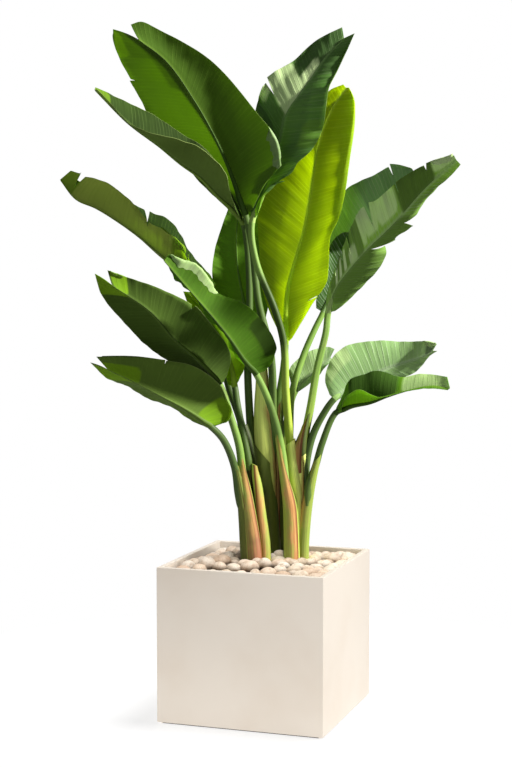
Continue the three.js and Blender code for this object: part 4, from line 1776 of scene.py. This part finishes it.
            (335, -45, 1155), (365, -60, 1200), (415, -85, 1255), (440, -100, 1285),
        ),
        tears=(
            Tear(LEFT, 0.2, 0.6, 8), Tear(LEFT, 0.28, 0.6, 8), Tear(LEFT, 0.36, 0.7, 8),
            Tear(LEFT, 0.53, 0.6, 12), Tear(LEFT, 0.7, 0.35, 5), Tear(LEFT, 0.86, 0.3, 8),
            Tear(RIGHT, 0.46, 0.85, 30), Tear(RIGHT, 0.63, 0.5, 16),
        ),
        marks=(
            Mark(SILVER, LEFT, 0.62, 0.7, 0.06, 0.5, 1.0), Mark(SILVER, LEFT, 0.52, 0.7, 0.04, 0.5, 0.95),
            Mark(SILVER, LEFT, 0.95, 0.75, 0.06, 0.5, 0.9), Mark(SHADE, LEFT, 0.79, 0.5, 0.1, 0.8, 0.95),
            Mark(SHADE, LEFT, 0.25, 0.7, 0.13, 0.6, 0.7), Mark(SILVER, LEFT, 0.21, 0.45, 0.012, 0.35, 0.9),
            Mark(SILVER, LEFT, 0.255, 0.5, 0.012, 0.4, 0.9), Mark(SILVER, LEFT, 0.3, 0.5, 0.012, 0.4, 0.9),
            Mark(SILVER, LEFT, 0.37, 0.3, 0.03, 0.25, 0.7),
            Mark(SILVER, LEFT, 0.465, 0.6, 0.016, 0.45, 0.9), Mark(SHADE, LEFT, 0.42, 0.6, 0.03, 0.6, 0.7),
            Mark(SHADE, RIGHT, 0.38, 0.5, 0.3, 0.8),
        ),
        flaps=(Flap(SILVER, LEFT, 0.88, 0.995, 14, 5, 1),),
        ruffle=0.7, ripe=0.5,
    ),
    "right_back": LeafShape(
        Finish.BLUE,
        ((55, 45, 555), (55, 45, 665), (60, 50, 750), (85, 60, 835), (115, 65, 905)),
        (
            (135, 70, 945), (160, 80, 1010), (205, 80, 1080), (270, 70, 1175), (330, 50, 1260),
            (350, 40, 1275),
        ),
        (
            (125, 80, 960), (130, 115, 1010), (150, 135, 1120), (170, 135, 1195), (195, 125, 1240),
            (260, 100, 1275), (305, 75, 1295), (345, 50, 1285),
        ),
        (
            (120, 60, 955), (120, 50, 985), (140, 45, 1050), (155, 50, 1110), (180, 50, 1135),
            (215, 50, 1135), (255, 45, 1160), (305, 40, 1220), (340, 40, 1270),
        ),
        tears=(Tear(LEFT, 0.88, 0.4, 8),),
        marks=(Mark(SHADE, LEFT, 0.9, 0.6, 0.1, 0.7, 0.75), Mark(SHADE, LEFT, 0.74, 0.6, 0.06, 0.6, 0.6)),
        ruffle=0.5, ripe=0.4,
    ),
    "right_low": LeafShape(
        Finish.SILVER,
        ((90, 10, 525), (95, 15, 595), (110, 20, 655), (135, 20, 705)),
        ((160, 20, 740), (205, 35, 770), (285, 45, 810), (360, 40, 835), (395, 30, 855)),
        (
            (150, 30, 750), (140, 50, 785), (155, 75, 830), (195, 90, 865), (260, 90, 875), (320, 80, 875),
            (390, 45, 875), (405, 35, 870),
        ),
        ((170, 20, 740), (235, 20, 760), (325, 30, 790), (355, 30, 805), (385, 30, 840), (405, 30, 855)),
        marks=(
            Mark(SILVER, LEFT, 0.25, 0.8, 0.14, 0.25, 0.7), Mark(SHADE, LEFT, 0.96, 0.35, 0.03, 0.35, 0.9),
        ),
        flaps=(Flap(SILVER, LEFT, 0.9, 0.998, 13, 5, 1, 0.6),),
        ruffle=0.36, old=0.85,
    ),
    "right_lowest": LeafShape(
        Finish.FRESH,
        ((95, -10, 490), (100, -10, 540), (115, -10, 585), (130, -20, 640)),
        (
            (160, -25, 710), (190, -40, 730), (240, -55, 740), (280, -70, 755), (330, -80, 770),
            (380, -90, 780), (420, -100, 775),
        ),
        (
            (165, -20, 725), (180, 0, 755), (195, 10, 785), (230, 5, 800), (260, -5, 810), (315, -30, 795),
            (355, -50, 805), (415, -90, 800),
        ),
        (
            (175, -40, 715), (180, -70, 750), (210, -90, 770), (255, -95, 755), (315, -95, 765),
            (365, -100, 775), (415, -100, 770),
        ),
        marks=(
            Mark(SHADE, LEFT, 0.42, 0.55, 0.2, 0.75, 0.95), Mark(LIME, LEFT, 0.86, 0.5, 0.22, 0.9, 0.4),
            Mark(SILVER, LEFT, 0.88, 0.5, 0.22, 0.9, 0.95), Mark(SHADE, RIGHT, 0.2, 0.3, 0.3, 0.4, 0.25),
        ),
        ruffle=0.22, old=0.8,
    ),
    "inner_right": LeafShape(
        Finish.SILVER,
        ((45, 80, 565), (45, 82, 635), (55, 85, 710)),
        ((70, 85, 755), (110, 95, 795), (155, 105, 835)),
        ((60, 90, 770), (55, 95, 805), (75, 105, 830), (105, 110, 850), (150, 115, 860), (165, 110, 855)),
        ((80, 85, 755), (100, 80, 770), (125, 85, 790), (140, 90, 810), (160, 105, 830)),
        marks=(Mark(SILVER, LEFT, 0.5, 0.5, 0.4, 0.6, 0.4),),
        ruffle=0.12, old=0.3,
    ),
}


@dataclass(frozen=True)
class Leaf:
    """A leaf's stalk and blade, built from its lines.

    Attributes:
        name: Its name in the frame.
        shape: Its lines.
        number: Its place in the frame's list, from 1, which phases its waves.
    """

    name: str
    shape: LeafShape
    number: int

    COLUMNS = 170
    ROWS = (0, 0.02, 0.05, 0.1, 0.18, 0.27, 0.36, 0.45, 0.54, 0.63, 0.71, 0.78, 0.84, 0.89, 0.93, 0.965, 1)
    LEAN = 1.22  # above 1 the side veins slant towards the tip
    CAMBER = 0.05  # rise of each half between midrib and margin, over its width
    RUFFLE = 5.0  # height of the margin's long waves, in millimetres
    RUFFLE_WAVES = 3
    RIPPLE = 1.3  # height of its short waves
    RIPPLE_WAVES = 8
    RIPPLE_RATIO = 1.63  # how many times as many its finer waves are
    PLEATS = ((19, 0.75), (31, 0.5), (47, 0.3))  # folds along the side veins: how many, and their height
    STRIP_DROP = 7.0  # how far a torn strip may hang out of the blade
    STRIP_TWIST = 16.0  # how far one side of it may stand above the other
    THICKNESS = (1.1, 0.8)  # at the midrib and at the margin
    STALK_RADIUS = (10.4, 7.6)  # at the foot and at the blade
    STALK_RINGS = 48
    STALK_SIDES = 20
    GROOVE = 0.2  # depth of the groove along the stalk's upper side, over its radius
    FLAP_THICKNESS = 0.7

    def add(self, stalk_material: bpy.types.Material) -> None:
        """Builds the stalk and the blade."""
        whole = self.shape.stalk + self.shape.rib
        join = len(self.shape.stalk) / (len(whole) - 1)
        stalk, rib = Curve(whole, 0, join), Curve(whole, join, 1)
        margins = {LEFT: Curve(self.shape.left), RIGHT: Curve(self.shape.right)}
        up = self._up(rib, margins, np.array([0.03]))[0]
        piece = build(f"{self.name}_stalk", self._stalk(stalk, up), [stalk_material])
        install(piece, f"stalk_{self.name}", "stalk")
        strips, flaps = [], []
        for side in Side:
            for strip in self._strips(side, rib, margins[side]):
                strips.append(strip)
                flaps += self._flaps(side, strip)
        sheet = joined(strips).welded()
        thickness = np.interp(sheet.values["aside"], [0, 1], self.THICKNESS)
        skin = joined([sheet.thickened(thickness, 1), self._midrib(rib, margins), *flaps])
        skin.points = placed(skin.points)
        materials = self.shape.finish.value.faces(self.name)
        install(build(f"{self.name}_blade", skin, materials), f"blade_{self.name}", "blade")

    def _halves(self, side: Side, rib: Curve, margin: Curve, shares: Array) -> tuple[Array, ...]:
        """The lines across one half.

        Args:
            side: The half.
            rib: The midrib.
            margin: The half's margin.
            shares: Where along the half.

        Returns:
            At each share, the point on the midrib, the step to the margin, and the upper face's direction.
        """
        inner = shares**self.LEAN
        middle = rib.at(inner)
        out = margin.at(shares) - middle
        face = unit(np.cross(out, rib.tangents(inner)))
        return middle, out, -face if side is LEFT else face

    def _up(self, rib: Curve, margins: dict[Side, Curve], shares: Array) -> Array:
        """The upper face's mean direction over the midrib.

        Args:
            rib: The midrib.
            margins: The blade's margins.
            shares: Where along the midrib.

        Returns:
            A direction for each share.
        """
        outer = shares ** (1 / self.LEAN)
        left, right = (self._halves(side, rib, margins[side], outer)[2] for side in Side)
        return unit(left + right)

    def _strips(self, side: Side, rib: Curve, margin: Curve) -> list[Skin]:
        """One half as the strips between its tears.

        Args:
            side: The half.
            rib: The midrib.
            margin: The half's margin.

        Returns:
            Open sheets that meet along the lines of the tears, as far as these aren't torn.
        """
        rng = np.random.default_rng(100 * self.number + side.value)
        tears = sorted((tear for tear in self.shape.tears if tear.side is side), key=lambda tear: tear.at)
        borders = [0.0] + [tear.at for tear in tears] + [1.0]
        depths = [0.0] + [tear.deep for tear in tears] + [0.0]
        gaps = [0.0] + [tear.gap for tear in tears] + [0.0]
        drops = rng.uniform(-1, 1, len(borders) - 1) * (1.0 if tears else 0.0)
        if len(drops) > 1:
            drops = np.abs(drops) * np.where(np.arange(len(drops)) % 2, 1, -1)
        twists = rng.uniform(0.3, 1, len(drops)) * rng.choice((-1, 1), len(drops)) * (len(drops) > 1)
        phase = math.tau * seeded(self.number) + (1 if side is LEFT else 0)
        ripple = rng.uniform(0, math.tau)
        found = []
        part = np.array(self.ROWS, float)[None]
        for k, (start, end) in enumerate(zip(borders, borders[1:])):
            columns = max(3, round(self.COLUMNS * (end - start)))
            shares = np.linspace(start, end, columns + 1)
            middle, out, face = self._halves(side, rib, margin, shares)
            along = rib.tangents(shares**self.LEAN)
            width = np.linalg.norm(out, axis=1)
            local = (shares - start) / (end - start)
            deep = np.maximum(depths[k] + (depths[k + 1] - depths[k]) * local, 1e-6)[:, None]
            torn = np.clip((part - (1 - deep)) / deep, 0, 1) * (deep > 0.01)
            waves = self._waves(shares, part, phase, ripple)
            rise = self.CAMBER * width[:, None] * 4 * part * (1 - part) + waves
            lean = (local - 0.5)[:, None] * self.STRIP_TWIST * twists[k]
            rise = rise + (self.STRIP_DROP * drops[k] + lean) * torn**1.5
            half_gap = gaps[k] / 2 * (1 - local) ** 6 - gaps[k + 1] / 2 * local**6
            points = middle[:, None] + out[:, None] * part[..., None] + face[:, None] * rise[..., None]
            points = points + along[:, None] * (half_gap[:, None] * torn)[..., None]
            points = self._rolled(side, shares, points, out, face)
            values = {
                "along": repeated(shares * rib.length * MM, part.size).reshape(-1),
                "share": repeated(shares, part.size).reshape(-1),
                "aside": np.repeat(part, len(shares), 0).reshape(-1),
                "reach": (width[:, None] * part * MM).reshape(-1),
            }
            # Each mark's painted shade, sheen and glow, as values on the blade.
            for tone in Tone:
                marks = [mark for mark in self.shape.marks if mark.side is side and mark.tone is tone]
                cover = sum((mark.cover(shares[:, None], part) for mark in marks), np.zeros(rise.shape))
                values[tone.value] = np.clip(cover, 0, 1).reshape(-1)
            faces = grid(len(shares), part.size, side is RIGHT)
            found.append(Skin(points.reshape(-1, 3), faces, values, [0] * len(faces)))
        return found

    def _waves(self, shares: Array, part: Array, phase: float, ripple: float) -> Array:
        """How far the waves and folds of one half lift it.

        Args:
            shares: Where along the half each line of points is.
            part: Where on its line each point is, from 0 at the midrib to 1 at the margin.
            phase: The angle at which the long waves start.
            ripple: The angle at which the short ones and the folds start.

        Returns:
            The height of each point, in millimetres.
        """
        ends = smooth(shares, 0, 0.1) * smooth(shares, 1, 0.9)
        ruffle = self.shape.ruffle
        long = np.sin(math.tau * self.RUFFLE_WAVES * shares + phase)
        short = np.sin(math.tau * self.RIPPLE_WAVES * shares + ripple)
        short = short + np.sin(math.tau * self.RIPPLE_WAVES * self.RIPPLE_RATIO * shares + 2 * ripple)
        pleats = sum(
            height * np.sin(math.tau * count * shares + ripple * (m + 2) + 2.2 * np.sin(5 * shares + ripple))
            for m, (count, height) in enumerate(self.PLEATS)
        )
        waves = ruffle * self.RUFFLE * long[:, None] * part**2
        waves = waves + (ruffle * self.RIPPLE * short * ends)[:, None] * part**4
        return waves + (ruffle * pleats * ends)[:, None] * part**0.8 * (1.25 - part)

    def _flaps(self, side: Side, strip: Skin) -> list[Skin]:
        """The folded-over margins on one strip.

        Args:
            side: The half that the strip is part of.
            strip: The strip, whose points stand in lines of one for each of ROWS.

        Returns:
            Thin closed skins that lie on the strip.
        """
        lines = strip.points.reshape(-1, len(self.ROWS), 3)
        shares = strip.values["share"].reshape(lines.shape[:2])[:, 0]
        width = np.linalg.norm(np.diff(lines, axis=1), axis=2).sum(1)
        found = []
        for flap in (flap for flap in self.shape.flaps if flap.side is side):
            inside = (shares >= flap.start) & (shares <= flap.end)
            if inside.sum() < 4:
                continue
            share, line = shares[inside], lines[inside]
            place = (share - flap.start) / (flap.end - flap.start)
            ragged = 1 + 0.1 * np.sin(23 * place + self.number) + 0.07 * np.sin(57 * place)
            reach = flap.width * smooth(place, 0, 0.3) * smooth(place, 1, 0.8) * ragged + 0.5
            over = np.linspace(0, 1, 9)
            part = 1 - over[None] * np.minimum(reach / width[inside], 0.9)[:, None]
            points = np.array(
                [[np.interp(row, self.ROWS, line[i, :, k]) for k in range(3)] for i, row in enumerate(part)]
            ).transpose(0, 2, 1)
            face = unit(np.cross(line[:, -1] - line[:, -6], np.gradient(line[:, -1], axis=0)))
            face = face * (-flap.over if side is LEFT else flap.over)
            rise = 1.3 + flap.bulge * smooth(place, 0, 0.3)[:, None] * np.sin(math.pi * over**0.6)[None]
            points = points + face[:, None] * (rise * smooth(over, 0, 0.12)[None])[..., None]
            faces = grid(share.size, over.size, side is RIGHT)
            # The flap carries its painted tone as a value.
            values = {
                "along": np.repeat(share * strip.values["along"].max() / shares.max(), over.size),
                "aside": np.tile(0.4 + 0.6 * over, share.size),
                "reach": np.repeat(width[inside] * MM, over.size),
                flap.tone.value: np.full(share.size * over.size, flap.strength),
            }
            sheet = Skin(points.reshape(-1, 3), faces, values, [0] * len(faces))
            found.append(sheet.thickened(np.full(len(sheet.points), self.FLAP_THICKNESS), 1))
        return found

    def _rolled(self, side: Side, shares: Array, points: Array, out: Array, face: Array) -> Array:
        """Curls the half's margin where it is rolled.

        Args:
            side: The half.
            shares: Where along the half each line of points is.
            points: The half's points.
            out: The step from midrib to margin on each line.
            face: The upper face's direction on each line.

        Returns:
            The points, curled.
        """
        for roll in (roll for roll in self.shape.rolls if roll.side is side):
            fade = 0.25 * (roll.end - roll.start)
            weight = smooth(shares, roll.start, roll.start + fade) * smooth(shares, roll.end, roll.end - fade)
            width = np.linalg.norm(out, axis=1)
            part = np.array(self.ROWS, float)[None]
            start = np.clip(1 - roll.radius / np.maximum(width, 1), 0.3, 1)[:, None]
            angle = math.radians(abs(roll.turn)) * np.clip((part - start) / (1 - start), 0, 1)
            way = math.copysign(1, roll.turn)
            base = np.stack([np.interp(start[i], part[0], points[i, :, k])
                             for i in range(len(shares)) for k in range(3)]).reshape(len(shares), 1, 3)
            bent = (
                base
                + unit(out)[:, None] * (roll.radius * np.sin(angle))[..., None]
                + face[:, None] * (way * roll.radius * (1 - np.cos(angle)))[..., None]
            )
            share = (weight[:, None] * (part > start))[..., None]
            points = points * (1 - share) + bent * share
        return points

    def _stalk(self, line: Curve, up: Array) -> Skin:
        """The stalk as a grooved tube that is stouter at its foot.

        Args:
            line: Its middle.
            up: The direction of the blade's upper face where the stalk meets it.

        Returns:
            Its skin, in metres in the frame.
        """
        shares = np.linspace(1, 0, self.STALK_RINGS)
        tangents = line.tangents(shares)
        ups = carried(tangents, up)
        radius = np.interp(shares, [0, 1], self.STALK_RADIUS) * (0.5 + 0.5 * smooth(shares, 0.0, 0.12))
        rings = self._rings(line.at(shares), tangents, ups, radius)
        around = np.repeat(np.linspace(0, 1, self.STALK_SIDES)[None], len(shares), 0)
        # Painted shade on the stalk's upper half, short of the blade.
        shade = smooth(shares, 0.48, 0.54) * smooth(shares, 0.82, 0.76)
        old = self.shape.old + self.shape.stalk_painted_shade * shade
        values = {
            "along": repeated(shares * line.length * MM, self.STALK_SIDES),
            "around": around,
            "rise": repeated(shares, self.STALK_SIDES),
            "warm": np.full(around.shape, self.shape.ripe),
            "old": repeated(old, self.STALK_SIDES),
        }
        skin = tube(rings[::-1], {name: value[::-1] for name, value in values.items()})
        skin.points = placed(skin.points)
        return skin

    def _rings(self, middles: Array, tangents: Array, ups: Array, radius: Array) -> Array:
        """Rings round a line, each with a groove on its upper side.

        Args:
            middles: The points of the line.
            tangents: Its direction at each.
            ups: The direction of the upper side at each.
            radius: The ring's radius at each.

        Returns:
            The points of each ring.
        """
        angle = np.linspace(0, math.tau, self.STALK_SIDES, endpoint=False)
        turn = np.minimum(angle, math.tau - angle)
        reach = radius[:, None] * (1 - self.GROOVE * np.exp(-((turn / 0.5) ** 2)))[None]
        sides = np.cross(tangents, ups)
        return (
            middles[:, None]
            + ups[:, None] * (reach * np.cos(angle))[..., None]
            + sides[:, None] * (reach * np.sin(angle))[..., None]
        )

    def _midrib(self, rib: Curve, margins: dict[Side, Curve]) -> Skin:
        """The midrib, sunk into the blade and standing out below it.

        Args:
            rib: Its line.
            margins: The blade's margins.

        Returns:
            Its skin, in the plant's millimetres.
        """
        shares = np.linspace(0, 0.995, 64)
        radius = (self.STALK_RADIUS[1] - 0.7) * (1 - shares) ** 2.2 + 0.7
        ups = self._up(rib, margins, np.maximum(shares, 0.01))
        ups = np.array([np.convolve(np.pad(ups[:, k], 4, mode="edge"), np.ones(9) / 9, "valid")
                        for k in range(3)]).T
        tangents = rib.tangents(shares)
        ups = unit(ups - tangents * (ups * tangents).sum(1)[:, None])
        sunk = rib.at(shares) - ups * (0.78 * radius * smooth(shares, 0.0, 0.1))[:, None]
        rings = self._rings(sunk, tangents, ups, radius)
        around = np.repeat(np.linspace(0, 1, self.STALK_SIDES)[None], len(shares), 0)
        values = {"along": repeated(shares * rib.length * MM, self.STALK_SIDES), "around": around}
        return tube(rings, values, 2)


# --- Studio -----------------------------------------------------------------------------------------


@dataclass(frozen=True)
class Lamp:
    """A soft area light.

    Attributes:
        name: Its name.
        place: Where it hangs, in metres.
        target: What it is aimed at.
        size: Its width in metres.
        power: In watts.
        tint: Its colour.
        slots: The slots of the pieces that it lights. With none it lights everything.
        shade: The slots of the pieces that cast shadows in it. With none all do.
        diffuse: Whether it lights as well as glints.
    """

    name: str
    place: Point
    target: Point
    size: float
    power: float
    tint: Point = (1.0, 1.0, 1.0)
    slots: tuple[str, ...] = ()
    shade: tuple[str, ...] = ()
    diffuse: bool = True

    def add(self) -> None:
        """Hangs the light."""
        light = bpy.data.lights.new(self.name, "AREA")
        light.shape, light.size, light.energy, light.color = "DISK", self.size, self.power, self.tint
        lamp = added(self.name, light)
        lamp.location = self.place
        aim = Vector(self.target) - Vector(self.place)
        lamp.rotation_euler = aim.to_track_quat("-Z", "Y").to_euler()
        lamp.visible_camera = False
        lamp.visible_diffuse = self.diffuse
        if self.slots:
            lamp.light_linking.receiver_collection = self._set("lights", self.slots)
        if self.shade:
            lamp.light_linking.blocker_collection = self._set("shades", self.shade)

    def _set(self, use: str, slots: tuple[str, ...]) -> bpy.types.Collection:
        """Collects pieces.

        Args:
            use: What the collection is for, in its name.
            slots: The slots of the pieces.

        Returns:
            The collection.
        """
        chosen = bpy.data.collections.new(f"{self.name}_{use}")
        for piece in bpy.context.scene.objects:
            if piece.get("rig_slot", piece.name) in slots:
                chosen.objects.link(piece)
        return chosen


@dataclass(frozen=True)
class Studio:
    """A pale floor, a white surround, soft lights and the camera.

    Attributes:
        azimuth: The camera's angle round the planter from its front, in degrees.
        elevation: Its angle above the level.
        distance: From its target, in metres.
        aside: The target's place to the camera's right.
        height: The target's height.
        lens: The focal length for a frame 36 mm high.
    """

    azimuth: float = 18.91
    elevation: float = 3.87
    distance: float = 3.7163
    aside: float = -0.02516
    height: float = 0.77772
    lens: float = 73.88

    AMBIENT = 0.16  # how strongly the surround lights, over how strongly it shows
    FLOOR_RADIUS = 1.1
    FLOOR_SIDES = 96
    FLOOR_HEIGHT = -0.0005
    FRAME_HEIGHT = 36.0  # of the camera's frame, in millimetres
    LAMPS = (
        Lamp("sun", (3.0, 1.0, 3.1), (0, 0, 0.95), 0.3, 640, (1.0, 0.97, 0.9), ("blade",)),
        Lamp("stems", (3.1, 0.1, 2.0), (0, 0, 0.6), 0.7, 320, (1.0, 0.97, 0.86), STEMS, STEMS),
        Lamp("sheen", (-2.2, -2.0, 2.8), (0.1, 0, 0.9), 1.6, 40, slots=("blade",), diffuse=False),
        Lamp("fill", (-0.6, -3.0, 1.6), (0, 0, 0.8), 2.0, 16, slots=PLANT),
        Lamp(
            "overhead", (0.7, 0.3, 3.4), (0, 0, 0.3), 1.1, 90,
            slots=BASE + ("floor",), shade=BASE + ("sheath",),
        ),
        Lamp(
            "bed", (0.5, -0.9, 2.6), (0, 0, 0.35), 0.3, 32, (1.0, 0.98, 0.94),
            slots=("pebble",), shade=("pebble", "sheath"),
        ),
        Lamp("side", (2.6, -0.2, 0.9), (0, 0, 0.15), 1.2, 39, slots=("pot", "soil")),
        Lamp("back", (-1.9, 2.4, 1.0), (0, 0, 0.15), 1.6, 24, slots=("pot", "soil")),
        Lamp("front", (-0.3, -2.6, 0.7), (0, 0, 0.15), 1.2, 24.5, slots=("pot", "soil")),
    )

    def camera(self) -> None:
        """Sets up the camera at the photograph's angle."""
        a, e = math.radians(self.azimuth), math.radians(self.elevation)
        back = Vector((math.sin(a) * math.cos(e), -math.cos(a) * math.cos(e), math.sin(e)))
        target = Vector((self.aside * math.cos(a), self.aside * math.sin(a), self.height))
        data = bpy.data.cameras.new("camera")
        data.sensor_fit, data.sensor_height, data.lens = "VERTICAL", self.FRAME_HEIGHT, self.lens
        camera = added("camera", data)
        camera.location = target + back * self.distance
        camera.rotation_euler = (-back).to_track_quat("-Z", "Y").to_euler()
        bpy.context.scene.camera = camera

    def add(self) -> None:
        """Lays the floor and hangs the lights."""
        bpy.context.scene.view_settings.view_transform = "Standard"
        sides, wide = self.FLOOR_SIDES, self.FLOOR_RADIUS
        angle = np.linspace(0, math.tau, sides, endpoint=False)
        height = np.full(sides, self.FLOOR_HEIGHT)
        disc = np.column_stack([wide * np.cos(angle), wide * np.sin(angle), height])
        skin = Skin(disc, [tuple(range(sides))], {}, [0])
        build("floor", skin, [FloorFinish().material("floor")])
        for lamp in self.LAMPS:
            lamp.add()
        self._surround()

    def _surround(self) -> None:
        """Makes the white surround, which lights less than it shows."""
        s = Shader("studio", "World")
        seen = s.node("LightPath", output="Is Camera Ray")
        strength = s.node("MapRange", None, {"Value": seen, "To Min": self.AMBIENT, "To Max": 1.0})
        sky = s.node("Background", None, {"Color": WHITE, "Strength": strength})
        bpy.context.scene.world = s.finish(sky)


def corners(box: Sequence[Sequence[float]]) -> list[list[float]]:
    """A box's corners as plain lists."""
    return [[float(value) for value in corner] for corner in box]


def main() -> None:
    """Loads the frame and builds every piece on it."""
    logging.basicConfig(level=logging.INFO, format="%(name)s: %(message)s")
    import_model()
    studio = Studio()
    studio.camera()
    Planter().add()
    Soil().add()
    PebbleBed().add(np.concatenate([shoot.feet() for shoot in SHOOTS]))
    sheath_material = SheathFinish().material("sheath")
    for shoot in SHOOTS:
        shoot.add(sheath_material)
    stalk_material = StalkFinish().material("stalk")
    for number, (name, shape) in enumerate(LEAVES.items(), 1):
        Leaf(name, shape, number).add(stalk_material)
    studio.add()


if __name__ == "__main__":
    main()
